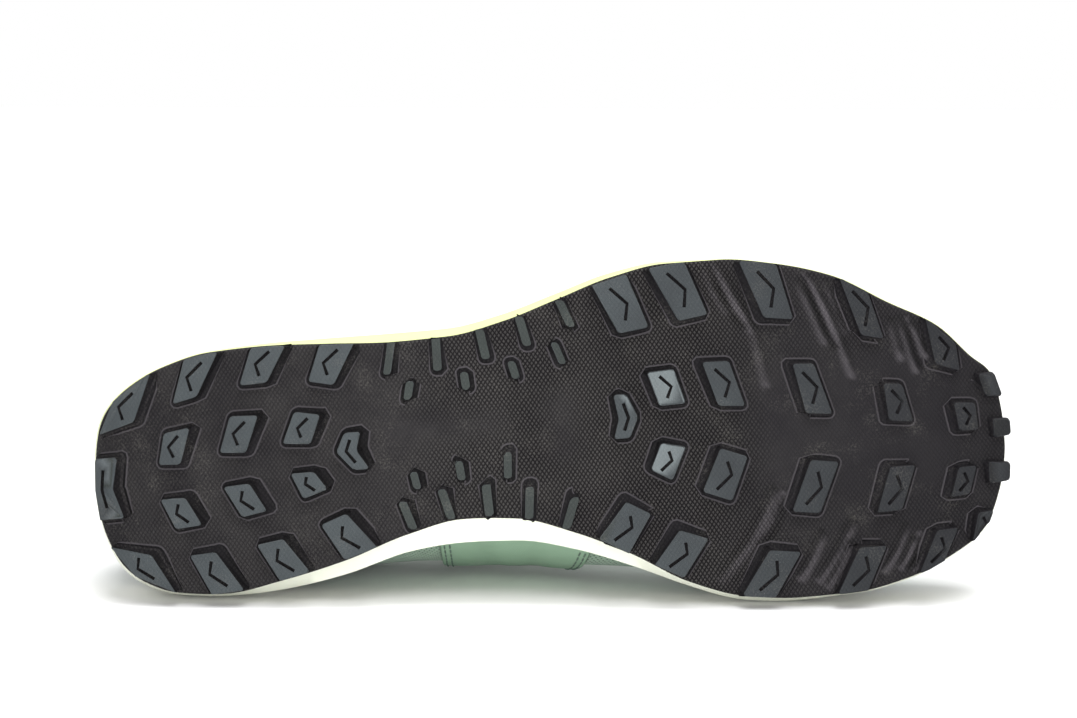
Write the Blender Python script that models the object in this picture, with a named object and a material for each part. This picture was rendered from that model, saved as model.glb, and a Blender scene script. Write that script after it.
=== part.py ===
"""Trail running shoe for the right foot, lying on its medial side.

The shoe is modelled in its own frame: x runs from heel to toe, y towards the
medial side and z up from the plane that the tread stands on. An empty then
lays it on its side, on sole edge and upper. Lengths are in metres.
"""

import math

import bmesh
import bpy
import numpy as np
from mathutils import Matrix, Vector

# Plan of the sole, as read from straight below
SOLE_LENGTH = 0.295
BALL_WIDTH = 0.1097
HEEL_END = 0.005
TOE_END = 0.995
READING_DISTANCE = 0.816
READING_ALONG = 0.496
READING_ACROSS = -0.252

# Heights of the sole
TOE_SPRING = 0.0165
HEEL_BEVEL = 0.008
ARCH_LIFT = 0.0032
LUG_HEIGHT = 0.0043
RUBBER = 0.0026
HEEL_FOAM = 0.0216
CUP_DEPTH = 0.0045
CUP_RIM = 0.003
EDGE_STEP = 0.0008
SIDE_GROOVE = 0.0013
RIM_ROUND = 0.0012

# Tread
LUG_DRAFT = 0.0005
LUG_RAMP = 0.0019
LUG_RAMP_FULL = 0.09
LUG_ROOT = 0.0012
LUG_EDGE = 0.0003
BAR_HEIGHT = 0.6
SIPE_WIDTH = 0.0011
SIPE_DEPTH = 0.0013
SIPE_SWING = 0.0040
SIPE_FULL_SWING = 0.0143
SIPE_START = 0.2
SIPE_APEX = 0.52
SIPE_END = 0.84
SIPE_HEEL_SHARE = 0.28
CHEVRON_SIPE = 0.62
CUT_OVERRUN = 0.001

# Upper and what it holds
INSTEP_RISE = 0.0755
UPPER_WALL = 0.0022
COLLAR_PAD = 0.0036
TOP_ROUND = 0.0009
TOP_ROUND_FROM = 0.97
FOOT_CLEAR = 0.0006
INSOLE_THICKNESS = 0.004
INSOLE_SIDE = 0.003
TONGUE_THICKNESS = 0.0045
TONGUE_RAISE = 0.0022
TONGUE_REACH = 0.024
TONGUE_LEAN = 32
TONGUE_NARROWING = (0.36, 0.30)
TONGUE_CLEAR = 0.0009
OVERLAY_WALL = 0.0012
OVERLAY_GAP = 0.00038
GAP = 0.0003

# Lacing
EYELET_RADIUS = 0.0029
EYELET_WIRE = 0.0007
EYELET_RISE = 0.915
LACE_WIDTH = 0.0062
LACE_THICKNESS = 0.0014
LACE_END_RISE = 0.968
LACE_ARCH = 0.0012
LACE_OVER = 0.0005
LACE_END_STEP = 0.006
LACE_SHARES = (0.3, 0.5, 0.7)

# Cosine up to which a side of the hull faces the medial side
SIDEWAYS = 0.8

# Fineness of the faceted skins
STATIONS = 30
RISES = 10
SLOPE_STEP = 0.004
SKIN_STEP = 0.01


def gentle_slopes(at, values):
    """Slopes for a curve through the rows that never overshoots them."""
    steps = np.diff(at)
    rises = np.diff(values) / steps
    slopes = np.zeros(len(values))
    slopes[0] = rises[0]
    slopes[-1] = rises[-1]
    for row in range(1, len(values) - 1):
        before, after = rises[row - 1], rises[row]
        if before * after > 0:
            near = 2 * steps[row] + steps[row - 1]
            far = steps[row] + 2 * steps[row - 1]
            slopes[row] = (near + far) / (near / before + far / after)
    return slopes


class Table:
    """Rows of named columns, read between the rows by a smooth curve."""

    def __init__(self, columns, rows, place=float, period=None):
        names = columns.split()
        at = np.array([place(row[0]) for row in rows])
        values = np.array(rows, dtype=float)
        if period:
            at = np.concatenate([at - period, at, at + period])
            values = np.vstack([values, values, values])
        self.at = at
        self.columns = {name: values[:, index] for index, name in enumerate(names)}
        self.slopes = {name: gentle_slopes(at, column) for name, column in self.columns.items()}

    def read(self, name, at):
        column, slopes = self.columns[name], self.slopes[name]
        row = int(np.clip(np.searchsorted(self.at, at) - 1, 0, len(self.at) - 2))
        span = self.at[row + 1] - self.at[row]
        share = min(max((at - self.at[row]) / span, 0.0), 1.0)
        rest = 1 - share
        start = column[row] * (1 + 2 * share) * rest**2 + slopes[row] * span * share * rest**2
        end = column[row + 1] * (1 + 2 * rest) * share**2
        return start + end - slopes[row + 1] * span * rest * share**2


def half_turn_at(along):
    """Half turn, 0 at the heel and 1 at the toe, where the outline has this share of the length."""
    share = (along - HEEL_END) / (TOE_END - HEEL_END)
    return math.acos(1 - 2 * min(max(share, 0.0), 1.0)) / math.pi


def half_turn(turn):
    """The turn runs 0 to 1 on the medial side and 1 to 2 back along the lateral side."""
    turn = turn % 2
    return turn if turn <= 1 else 2 - turn


def side_name(turn):
    return "medial" if turn % 2 <= 1 else "lateral"


def along_at(turn):
    return HEEL_END + (TOE_END - HEEL_END) * (1 - math.cos(math.pi * half_turn(turn))) / 2


# Outline of the tread, and how far the foam's rim stands out of it; shares of length and ball width
OUTLINE = Table(
    "along lateral medial rim_lateral rim_medial",
    [
        (0.005, 0.030, 0.030, 0.000, 0.000),
        (0.015, -0.162, 0.188, 0.000, 0.000),
        (0.029, -0.220, 0.260, 0.000, 0.000),
        (0.050, -0.266, 0.310, 0.000, 0.000),
        (0.087, -0.314, 0.349, 0.000, 0.000),
        (0.140, -0.347, 0.362, 0.002, 0.002),
        (0.200, -0.353, 0.336, 0.006, 0.023),
        (0.270, -0.345, 0.292, 0.015, 0.037),
        (0.340, -0.3355, 0.230, 0.024, 0.048),
        (0.400, -0.3395, 0.1985, 0.022, 0.065),
        (0.460, -0.371, 0.2095, 0.019, 0.061),
        (0.520, -0.422, 0.2625, 0.016, 0.046),
        (0.580, -0.474, 0.338, 0.012, 0.032),
        (0.640, -0.502, 0.432, 0.005, 0.010),
        (0.700, -0.501, 0.487, 0.001, 0.008),
        (0.760, -0.477, 0.504, 0.000, 0.004),
        (0.820, -0.430, 0.501, 0.000, 0.000),
        (0.880, -0.338, 0.470, 0.000, 0.000),
        (0.930, -0.262, 0.412, 0.000, 0.000),
        (0.965, -0.163, 0.345, 0.000, 0.000),
        (0.985, -0.110, 0.235, 0.000, 0.000),
        (0.995, 0.070, 0.070, 0.000, 0.000),
    ],
    place=half_turn_at,
)

# Shares of heel bevel, arch lift, toe spring, lug height, heel foam and cup depth
PROFILE = Table(
    "along bevel arch spring relief foam cup",
    [
        (0.00, 1.00, 0.0, 0.00, 0.85, 1.05, 1.8),
        (0.03, 0.45, 0.0, 0.00, 0.95, 1.03, 1.6),
        (0.07, 0.10, 0.0, 0.00, 1.00, 1.01, 1.35),
        (0.10, 0.00, 0.0, 0.00, 1.00, 1.00, 1.2),
        (0.28, 0.00, 0.0, 0.00, 1.00, 0.98, 1.0),
        (0.34, 0.00, 0.4, 0.00, 0.72, 0.97, 1.1),
        (0.42, 0.00, 1.0, 0.00, 0.50, 0.97, 1.25),
        (0.50, 0.00, 0.7, 0.00, 0.62, 0.91, 1.1),
        (0.57, 0.00, 0.0, 0.00, 1.00, 0.84, 1.0),
        (0.65, 0.00, 0.0, 0.00, 1.00, 0.74, 1.0),
        (0.76, 0.00, 0.0, 0.00, 1.00, 0.70, 1.0),
        (0.84, 0.00, 0.0, 0.12, 1.00, 0.66, 1.0),
        (0.90, 0.00, 0.0, 0.33, 0.95, 0.58, 1.1),
        (0.95, 0.00, 0.0, 0.61, 0.88, 0.48, 1.3),
        (1.00, 0.00, 0.0, 1.00, 0.78, 0.36, 1.5),
    ],
)

# Edge lugs, field lugs and toe knobs, by their corners; the groove points to heel (-1) or toe (1),
# and the knobs have none
LUG_COLUMNS = (
    "groove heel_in_along heel_in_across toe_in_along toe_in_across"
    " toe_out_along toe_out_across heel_out_along heel_out_across"
)
HEEL_EDGE_LUGS = [
    (-1, 0.0125, -0.130, 0.051, -0.160, 0.0735, -0.302, 0.031, -0.228),
    (-1, 0.095, -0.204, 0.1215, -0.220, 0.1485, -0.348, 0.111, -0.331),
    (-1, 0.169, -0.243, 0.1985, -0.245, 0.223, -0.354, 0.185, -0.353),
    (-1, 0.244, -0.239, 0.271, -0.223, 0.297, -0.339, 0.260, -0.348),
    (-1, 0.016, 0.200, 0.059, 0.232, 0.082, 0.346, 0.040, 0.290),
    (-1, 0.101, 0.242, 0.129, 0.238, 0.157, 0.357, 0.1216, 0.360),
    (-1, 0.1744, 0.226, 0.203, 0.215, 0.2295, 0.317, 0.197, 0.339),
    (-1, 0.246, 0.183, 0.274, 0.156, 0.3046, 0.260, 0.269, 0.292),
]
HEEL_FIELD_LUGS = [
    (-1, 0.075, -0.030, 0.098, -0.026, 0.111, -0.132, 0.083, -0.120),
    (-1, 0.142, -0.051, 0.170, -0.045, 0.186, -0.151, 0.156, -0.155),
    (-1, 0.211, -0.063, 0.241, -0.056, 0.2535, -0.139, 0.226, -0.153),
    (-1, 0.0736, 0.072, 0.1004, 0.072, 0.1164, 0.156, 0.088, 0.162),
    (-1, 0.143, 0.050, 0.171, 0.046, 0.188, 0.130, 0.161, 0.142),
    (-1, 0.217, 0.026, 0.242, 0.026, 0.2554, 0.080, 0.229, 0.1025),
]
FOREFOOT_EDGE_LUGS = [
    (1, 0.585, -0.308, 0.618, -0.320, 0.598, -0.479, 0.560, -0.454),
    (1, 0.651, -0.331, 0.683, -0.3435, 0.662, -0.503, 0.622, -0.495),
    (1, 0.744, -0.321, 0.7755, -0.310, 0.7615, -0.475, 0.721, -0.495),
    (1, 0.848, -0.248, 0.872, -0.233, 0.857, -0.387, 0.8286, -0.424),
    (1, 0.926, -0.148, 0.9517, -0.122, 0.9495, -0.202, 0.919, -0.284),
    (1, 0.579, 0.185, 0.605, 0.226, 0.5776, 0.336, 0.546, 0.287),
    (1, 0.6346, 0.280, 0.6654, 0.311, 0.634, 0.425, 0.604, 0.378),
    (1, 0.731, 0.359, 0.7646, 0.371, 0.732, 0.502, 0.697, 0.486),
    (1, 0.8286, 0.372, 0.858, 0.372, 0.834, 0.498, 0.8006, 0.506),
    (1, 0.914, 0.339, 0.937, 0.335, 0.919, 0.430, 0.890, 0.468),
]
FOREFOOT_FIELD_LUGS = [
    (1, 0.623, -0.087, 0.652, -0.089, 0.6415, -0.1925, 0.612, -0.188),
    (1, 0.687, -0.0745, 0.716, -0.068, 0.702, -0.203, 0.673, -0.205),
    (1, 0.7815, -0.033, 0.810, -0.025, 0.794, -0.176, 0.771, -0.180),
    (1, 0.871, 0.007, 0.897, 0.015, 0.888, -0.096, 0.8684, -0.102),
    (1, 0.9466, 0.0535, 0.967, 0.0535, 0.9655, -0.025, 0.943, -0.030),
    (1, 0.622, 0.0215, 0.6485, 0.038, 0.631, 0.133, 0.6085, 0.098),
    (1, 0.686, 0.050, 0.7146, 0.080, 0.694, 0.206, 0.663, 0.173),
    (1, 0.783, 0.105, 0.813, 0.117, 0.7885, 0.262, 0.7585, 0.251),
    (1, 0.8684, 0.143, 0.8957, 0.143, 0.8773, 0.271, 0.8507, 0.273),
    (1, 0.943, 0.160, 0.962, 0.1585, 0.952, 0.240, 0.932, 0.244),
    (1, 0.9605, 0.297, 0.977, 0.293, 0.970, 0.357, 0.951, 0.385),
]
TOE_KNOBS = [
    (0, 0.984, 0.025, 1.002, 0.030, 1.002, 0.075, 0.984, 0.080),
    (0, 0.976, 0.150, 0.999, 0.158, 0.997, 0.208, 0.975, 0.214),
    (0, 0.978, -0.042, 0.996, -0.040, 0.989, -0.108, 0.972, -0.108),
]

# Chevron lugs on the middle line, by their lateral wing, apex and medial wing
CHEVRON_COLUMNS = (
    "groove lateral_heel_along lateral_toe_along lateral_across apex_heel_along apex_toe_along"
    " apex_across medial_heel_along medial_toe_along medial_across"
)
CHEVRON_LUGS = [
    (-1, 0.0015, 0.030, -0.061, 0.0, 0.0225, 0.030, 0.0025, 0.033, 0.118),
    (-1, 0.2785, 0.296, -0.080, 0.2685, 0.290, -0.026, 0.286, 0.303, 0.030),
    (1, 0.574, 0.588, -0.130, 0.578, 0.599, -0.060, 0.571, 0.5885, -0.001),
]

# Thin bars across the waist, by their ends on the middle line side and on the edge side
BAR_COLUMNS = "in_along in_across out_along out_across width"
WAIST_BARS = [
    (0.330, -0.241, 0.3375, -0.333, 0.0095),
    (0.3855, -0.241, 0.386, -0.335, 0.0095),
    (0.439, -0.264, 0.434, -0.352, 0.0095),
    (0.485, -0.293, 0.478, -0.380, 0.0095),
    (0.534, -0.338, 0.523, -0.418, 0.0095),
    (0.350, -0.163, 0.3545, -0.217, 0.009),
    (0.415, -0.179, 0.4135, -0.231, 0.009),
    (0.470, -0.200, 0.4655, -0.252, 0.009),
    (0.5215, -0.232, 0.5135, -0.297, 0.009),
    (0.336, 0.134, 0.346, 0.216, 0.010),
    (0.3795, 0.107, 0.388, 0.195, 0.010),
    (0.428, 0.103, 0.4295, 0.195, 0.010),
    (0.4755, 0.120, 0.472, 0.212, 0.010),
    (0.524, 0.160, 0.5115, 0.250, 0.010),
    (0.3507, 0.050, 0.354, 0.100, 0.009),
    (0.4005, 0.028, 0.4025, 0.084, 0.009),
    (0.4545, 0.013, 0.4525, 0.089, 0.009),
]

# Sections of the upper around the foot. Each rises from the cup over a side point and a shoulder
# point to the top line. Along is a share of length, across and out of ball width, rise and up of
# the instep's rise over the bed below.
UPPER_SECTIONS = Table(
    "turn side_out side_up shoulder_along shoulder_across shoulder_rise top_along top_across top_rise",
    [
        (0.00, 0.054, 0.29, 0.0134, 0.027, 0.615, 0.0336, 0.027, 0.951),
        (0.10, 0.000, 0.28, 0.0340, 0.200, 0.592, 0.0537, 0.153, 0.914),
        (0.20, -0.036, 0.24, 0.1140, 0.286, 0.524, 0.1275, 0.280, 0.789),
        (0.30, -0.004, 0.20, 0.2280, 0.335, 0.475, 0.2350, 0.345, 0.687),
        (0.40, 0.125, 0.185, 0.3460, 0.380, 0.583, 0.3560, 0.278, 0.861),
        (0.44, 0.162, 0.175, 0.3890, 0.412, 0.637, 0.4030, 0.221, 1.000),
        (0.50, 0.180, 0.16, 0.4765, 0.410, 0.648, 0.4630, 0.1895, 0.951),
        (0.60, 0.044, 0.21, 0.5900, 0.379, 0.656, 0.5570, 0.153, 0.857),
        (0.70, 0.008, 0.185, 0.7050, 0.338, 0.604, 0.6240, 0.117, 0.787),
        (0.80, 0.006, 0.16, 0.8150, 0.271, 0.494, 0.6610, 0.077, 0.744),
        (0.90, 0.018, 0.145, 0.8790, 0.171, 0.395, 0.6745, 0.045, 0.726),
        (1.00, 0.018, 0.13, 0.8990, 0.063, 0.359, 0.6780, 0.0135, 0.719),
        (1.10, 0.018, 0.145, 0.8790, -0.081, 0.385, 0.6745, -0.0225, 0.722),
        (1.20, 0.018, 0.155, 0.8150, -0.235, 0.455, 0.6610, -0.0585, 0.739),
        (1.30, 0.027, 0.175, 0.7050, -0.361, 0.525, 0.6240, -0.099, 0.775),
        (1.40, 0.036, 0.19, 0.5900, -0.406, 0.577, 0.5570, -0.135, 0.845),
        (1.50, 0.050, 0.185, 0.4765, -0.388, 0.620, 0.4630, -0.1715, 0.938),
        (1.56, 0.060, 0.18, 0.3890, -0.379, 0.625, 0.4030, -0.203, 0.987),
        (1.60, 0.060, 0.185, 0.3460, -0.370, 0.556, 0.3560, -0.244, 0.835),
        (1.70, 0.016, 0.20, 0.2280, -0.325, 0.435, 0.2350, -0.284, 0.647),
        (1.80, -0.018, 0.24, 0.1140, -0.272, 0.500, 0.1275, -0.2255, 0.762),
        (1.90, 0.010, 0.28, 0.0320, -0.163, 0.585, 0.0537, -0.099, 0.906),
    ],
    period=2.0,
)

# Padding of the collar around the turn, and its share up a section
COLLAR_PADDING = Table(
    "turn share",
    [(0.00, 0.8), (0.20, 1.0), (0.33, 1.0), (0.43, 0.0), (1.57, 0.0), (1.67, 1.0), (1.80, 1.0)],
    period=2.0,
)
PADDING_RISE = Table("rise share", [(0.0, 0.0), (0.45, 0.0), (0.75, 1.0), (0.92, 0.9), (1.0, 0.35)])

# Overlays: from one turn to another, with their lower and upper edge as shares of the section
OVERLAY_COLUMNS = "start stop low_start low_middle low_end high_start high_middle high_end"
OVERLAYS = {
    "toe_cap": (0.70, 1.34, 0.015, 0.015, 0.015, 0.07, 0.30, 0.07),
    "heel_counter": (-0.27, 0.27, 0.015, 0.015, 0.015, 0.20, 0.56, 0.20),
    "eyestay": (0.455, 1.545, 0.80, 0.88, 0.80, 0.987, 0.987, 0.987),
    "saddle_medial": (0.415, 0.525, 0.06, 0.06, 0.06, 0.74, 0.76, 0.76),
    "saddle_lateral": (1.475, 1.585, 0.04, 0.04, 0.04, 0.76, 0.76, 0.74),
}

# Side of the midsole, from the rubber up to the cup: which edge it follows, how far in from it,
# and the share of the height
MIDSOLE_SIDE = [
    ("rubber", EDGE_STEP, 0.0),
    ("rubber", 0.0, 0.07),
    ("foam", 0.0, 0.40),
    ("foam", SIDE_GROOVE, 0.50),
    ("foam", 0.0, 0.60),
    ("foam", RIM_ROUND / 2, 0.90),
    ("foam", RIM_ROUND, 1.0),
    ("foam", CUP_RIM, 1.0),
]

# Turns of the medial eyelets from the ankle down; the lateral ones mirror them
EYELET_TURNS = (0.475, 0.535, 0.593, 0.653, 0.722)
TONGUE_TURNS = (0.46, 0.51, 0.56, 0.61, 0.66, 0.71, 0.76, 0.82)
TONGUE_WINGS = (0.87, 0.935, 1.0)

COLOURS = {
    "outsole": ((0.050, 0.047, 0.050), 0.55),
    "midsole": ((0.80, 0.83, 0.66), 0.6),
    "insole": ((0.12, 0.13, 0.13), 0.9),
    "upper": ((0.28, 0.42, 0.32), 0.85),
    "tongue": ((0.24, 0.36, 0.28), 0.9),
    "overlay": ((0.16, 0.26, 0.20), 0.5),
    "eyelet": ((0.05, 0.07, 0.06), 0.4),
    "lace": ((0.62, 0.70, 0.64), 0.85),
}


def face_height(along):
    """Height of the lug faces over the plane that the tread stands on."""
    bevel = PROFILE.read("bevel", along) * HEEL_BEVEL
    arch = PROFILE.read("arch", along) * ARCH_LIFT
    return bevel + arch + PROFILE.read("spring", along) * TOE_SPRING


def base_height(along):
    return face_height(along) + PROFILE.read("relief", along) * LUG_HEIGHT


def bed_height(along):
    """Height of the bed that insole and upper stand on."""
    spring = PROFILE.read("spring", along) * TOE_SPRING
    return LUG_HEIGHT + RUBBER + PROFILE.read("foam", along) * HEEL_FOAM + spring


def cup_height(along):
    return bed_height(along) + PROFILE.read("cup", along) * CUP_DEPTH


def plan(along, across, height):
    """The place of a point of the plan: what lies higher was read smaller."""
    growth = 1 + height / READING_DISTANCE
    x = (READING_ALONG + (along - READING_ALONG) * growth) * SOLE_LENGTH
    y = (READING_ACROSS + (across - READING_ACROSS) * growth) * BALL_WIDTH
    return Vector((x, y, height))


def rubber_edge(turn):
    along = along_at(turn)
    across = OUTLINE.read(side_name(turn), half_turn(turn))
    return plan(along, across, base_height(along))


def foam_edge(turn):
    along = along_at(turn)
    side = side_name(turn)
    across = OUTLINE.read(side, half_turn(turn))
    rim = OUTLINE.read(f"rim_{side}", half_turn(turn))
    across += rim if side == "medial" else -rim
    return plan(along, across, (base_height(along) + bed_height(along)) / 2)


def outward(edge, turn):
    """Level unit vector out of a closed edge."""
    before, after = edge(turn - SLOPE_STEP), edge(turn + SLOPE_STEP)
    return Vector((before.y - after.y, after.x - before.x, 0)).normalized()


def level_ring(edge, out, height):
    """Ring around the sole: an edge moved out, at the height given for each share of the length."""
    ring = []
    for step in range(2 * STATIONS):
        turn = step / STATIONS
        point = edge(turn) + outward(edge, turn) * out
        point.z = height(along_at(turn))
        ring.append(point)
    return ring


def bridge(bm, rings, closed=False):
    """Skin of quads through rings of equal counts, with the last ring joined to the first if closed."""
    loops = [[bm.verts.new(point) for point in ring] for ring in rings]
    pairs = list(zip(loops, loops[1:]))
    if closed:
        pairs.append((loops[-1], loops[0]))
    for lower, upper in pairs:
        for index in range(len(lower)):
            after = (index + 1) % len(lower)
            bm.faces.new((lower[index], lower[after], upper[after], upper[index]))
    return loops


def cap_strips(bm, loop):
    """Closes a ring whose second half runs back beside its first half."""
    count = len(loop)
    for index in range(count // 2 - 1):
        far = (loop[count - index - 2], loop[count - index - 1])
        bm.faces.new((loop[index], loop[index + 1], *far))


def cap_across(bm, loop):
    """Closes a sole-shaped ring with strips that run from side to side."""
    count = len(loop)
    for index in range(count // 2):
        corners = [loop[index], loop[index + 1], loop[count - index - 1], loop[-index % count]]
        bm.faces.new(list(dict.fromkeys(corners)))


def solid(name, bm, finish):
    """Makes a named object of a closed mesh, faces pointing out."""
    bmesh.ops.recalc_face_normals(bm, faces=bm.faces)
    mesh = bpy.data.meshes.new(name)
    bm.to_mesh(mesh)
    bm.free()
    obj = bpy.data.objects.new(name, mesh)
    colour, roughness = COLOURS[finish]
    material = bpy.data.materials.new(name)
    material.use_nodes = True
    shader = material.node_tree.nodes["Principled BSDF"]
    shader.inputs["Base Color"].default_value = (*colour, 1)
    shader.inputs["Roughness"].default_value = roughness
    mesh.materials.append(material)
    return obj


def apply_boolean(obj, tool, operation):
    """Joins or cuts with the exact solver, keeps the result and drops the tool."""
    modifier = obj.modifiers.new(operation.lower(), "BOOLEAN")
    modifier.object = tool
    modifier.operation = operation
    modifier.solver = "EXACT"
    graph = bpy.context.evaluated_depsgraph_get()
    mesh = bpy.data.meshes.new_from_object(obj.evaluated_get(graph))
    obj.modifiers.remove(modifier)
    obj.data = mesh
    bpy.data.objects.remove(tool)


def sole_block(name, rings, finish):
    bm = bmesh.new()
    loops = bridge(bm, rings)
    cap_across(bm, loops[0])
    cap_across(bm, loops[-1])
    return solid(name, bm, finish)


def drafted(corners):
    """A lug's corners at its foot: wider all round, and ramped where they face the sole's middle."""
    middle = sum(corners, Vector((0, 0, 0))) / len(corners)
    inward = plan(READING_ALONG, READING_ACROSS, middle.z) - middle
    ramp = inward.normalized() * LUG_RAMP * min(1.0, inward.length / LUG_RAMP_FULL)
    moved = []
    for corner in corners:
        ray = corner - middle
        ray.z = 0
        ray.normalize()
        moved.append(corner + ray * LUG_DRAFT + ramp * max(0.0, ray.dot(inward.normalized())))
    return moved


def add_block(bm, rings):
    """Closed block through rings of corners."""
    loops = bridge(bm, rings)
    bm.faces.new(loops[0])
    bm.faces.new(loops[-1])


def on_face(along, across):
    """Point of the plan at the height of the lug faces."""
    return plan(along, across, face_height(along))


def add_lug(bm, corners, share=1.0):
    """Lug with drafted walls, rooted in the rubber; share is how much of the relief it takes up."""
    face = []
    foot = []
    root = []
    for along, across in corners:
        base = base_height(along)
        top = base - (base - face_height(along)) * share
        point = plan(along, across, top)
        face.append(point)
        foot.append(Vector((point.x, point.y, base)))
        root.append(Vector((point.x, point.y, base + LUG_ROOT)))
    add_block(bm, [face, drafted(foot), drafted(root)])


def add_groove(bm, start, apex, end):
    """Chevron groove, from below the lug's face to its own depth."""
    route = [start, apex, end]
    directions = [(apex - start).normalized(), (end - start).normalized(), (end - apex).normalized()]
    near, far = [], []
    for point, direction in zip(route, directions):
        side = Vector((direction.y, -direction.x, 0)) * (SIPE_WIDTH / 2)
        near.append(point + side)
        far.append(point - side)
    ring = near + far[::-1]
    lower = [point - Vector((0, 0, CUT_OVERRUN)) for point in ring]
    upper = [point + Vector((0, 0, SIPE_DEPTH)) for point in ring]
    loops = bridge(bm, [lower, upper])
    for loop in loops:
        bm.faces.new((loop[0], loop[1], loop[4], loop[5]))
        bm.faces.new((loop[1], loop[2], loop[3], loop[4]))


def add_row(bm, row):
    corners = []
    for corner in ("heel_in", "toe_in", "toe_out", "heel_out"):
        corners.append((row[f"{corner}_along"], row[f"{corner}_across"]))
    add_lug(bm, corners)


def lug_groove(row):
    """Start, apex and end of a lug's groove, along its middle line."""
    ends = []
    for side in ("in", "out"):
        heel = on_face(row[f"heel_{side}_along"], row[f"heel_{side}_across"])
        toe = on_face(row[f"toe_{side}_along"], row[f"toe_{side}_across"])
        ends.append((heel + toe) / 2)
    inner, outer = ends
    swing = Vector((row["groove"] * SIPE_SWING, 0, 0))
    swing *= min(1.0, (inner - outer).length / SIPE_FULL_SWING)
    start = inner.lerp(outer, SIPE_START) - swing * SIPE_HEEL_SHARE
    end = inner.lerp(outer, SIPE_END) - swing * SIPE_HEEL_SHARE
    return start, inner.lerp(outer, SIPE_APEX) + swing / 2, end


def make_outsole():
    """The parts of the outsole: sheet, lugs and bars with the outline that trims them, knobs, grooves."""
    rings = [
        level_ring(rubber_edge, -RIM_ROUND, base_height),
        level_ring(rubber_edge, 0, lambda along: base_height(along) + RIM_ROUND),
        level_ring(rubber_edge, 0, lambda along: base_height(along) + RUBBER),
    ]
    sheet = sole_block("outsole", rings, "outsole")
    outline = sole_block(
        "outline",
        [
            level_ring(rubber_edge, -LUG_EDGE, lambda along: face_height(along) - LUG_HEIGHT),
            level_ring(rubber_edge, -LUG_EDGE, lambda along: base_height(along) + RUBBER),
        ],
        "outsole",
    )
    lugs, knobs, grooves = bmesh.new(), bmesh.new(), bmesh.new()
    for values in HEEL_EDGE_LUGS + HEEL_FIELD_LUGS + FOREFOOT_EDGE_LUGS + FOREFOOT_FIELD_LUGS:
        row = dict(zip(LUG_COLUMNS.split(), values))
        add_row(lugs, row)
        add_groove(grooves, *lug_groove(row))
    for values in TOE_KNOBS:
        add_row(knobs, dict(zip(LUG_COLUMNS.split(), values)))
    for values in CHEVRON_LUGS:
        row = dict(zip(CHEVRON_COLUMNS.split(), values))
        wings = ("lateral", "apex", "medial")
        heel = [(row[f"{wing}_heel_along"], row[f"{wing}_across"]) for wing in wings]
        toe = [(row[f"{wing}_toe_along"], row[f"{wing}_across"]) for wing in wings]
        add_lug(lugs, heel + toe[::-1])
        middle = [(on_face(*low) + on_face(*high)) / 2 for low, high in zip(heel, toe)]
        start, end = [middle[1].lerp(wing, CHEVRON_SIPE) for wing in (middle[0], middle[2])]
        add_groove(grooves, start, middle[1], end)
    for values in WAIST_BARS:
        row = dict(zip(BAR_COLUMNS.split(), values))
        half = row["width"] / 2
        ends = ((row["in_along"], row["in_across"]), (row["out_along"], row["out_across"]))
        corners = [(ends[0][0] - half, ends[0][1]), (ends[0][0] + half, ends[0][1])]
        corners += [(ends[1][0] + half, ends[1][1]), (ends[1][0] - half, ends[1][1])]
        add_lug(lugs, corners, BAR_HEIGHT)
    parts = [sheet, solid("lugs", lugs, "outsole"), outline]
    return parts + [solid("knobs", knobs, "outsole"), solid("grooves", grooves, "outsole")]


def make_midsole():
    """Foam block with a flared rim, a groove along its side and a low cup for the upper."""

    def between(share):
        def height(along):
            low = base_height(along) + RUBBER + GAP
            return low + share * (cup_height(along) - low)

        return height

    edges = {"rubber": rubber_edge, "foam": foam_edge}
    rings = []
    for edge, inset, share in MIDSOLE_SIDE:
        rings.append(level_ring(edges[edge], -inset, between(share)))
    rings.append(level_ring(foam_edge, -CUP_RIM, bed_height))
    return sole_block("midsole", rings, "midsole")


def make_insole():
    """Loose foam sheet inside the upper."""

    def over_bed(rise):
        return lambda along: bed_height(along) + GAP + rise

    out = -(CUP_RIM + GAP + UPPER_WALL + GAP)
    rings = [
        level_ring(foam_edge, out, over_bed(0)),
        level_ring(foam_edge, out, over_bed(INSOLE_SIDE)),
        level_ring(foam_edge, out - RIM_ROUND, over_bed(INSOLE_THICKNESS)),
    ]
    return sole_block("insole", rings, "insole")


def section(turn):
    """The four points that shape one section of the upper, from the cup's rim to the top line."""
    read = UPPER_SECTIONS.read
    out = outward(foam_edge, turn)
    foot = foam_edge(turn) - out * (CUP_RIM + GAP)
    foot.z = cup_height(along_at(turn)) + FOOT_CLEAR
    side = foot + out * read("side_out", turn % 2) * BALL_WIDTH
    side.z += read("side_up", turn % 2) * INSTEP_RISE
    points = [foot, side]
    for name in ("shoulder", "top"):
        along = read(f"{name}_along", turn % 2)
        across = read(f"{name}_across", turn % 2)
        rise = bed_height(along) + read(f"{name}_rise", turn % 2) * INSTEP_RISE
        points.append(Vector((along * SOLE_LENGTH, across * BALL_WIDTH, rise)))
    return points


def bare_skin(turn, rise):
    """Point of the upper's outer face; rise is 0 at the cup's rim and 1 at the top line."""
    foot, side, shoulder, top = section(turn)
    rest = 1 - rise
    low = foot * rest**3 + side * (3 * rest**2 * rise)
    return low + shoulder * (3 * rest * rise**2) + top * rise**3


def skin_normal(turn, rise):
    around = bare_skin(turn + SKIN_STEP, rise) - bare_skin(turn - SKIN_STEP, rise)
    low, high = max(rise - SKIN_STEP, 0.0), min(rise + SKIN_STEP, 1.0)
    up = bare_skin(turn, high) - bare_skin(turn, low)
    return up.cross(around).normalized()


def skin(turn, rise, lift=0.0):
    return bare_skin(turn, rise) + skin_normal(turn, rise) * lift


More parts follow.
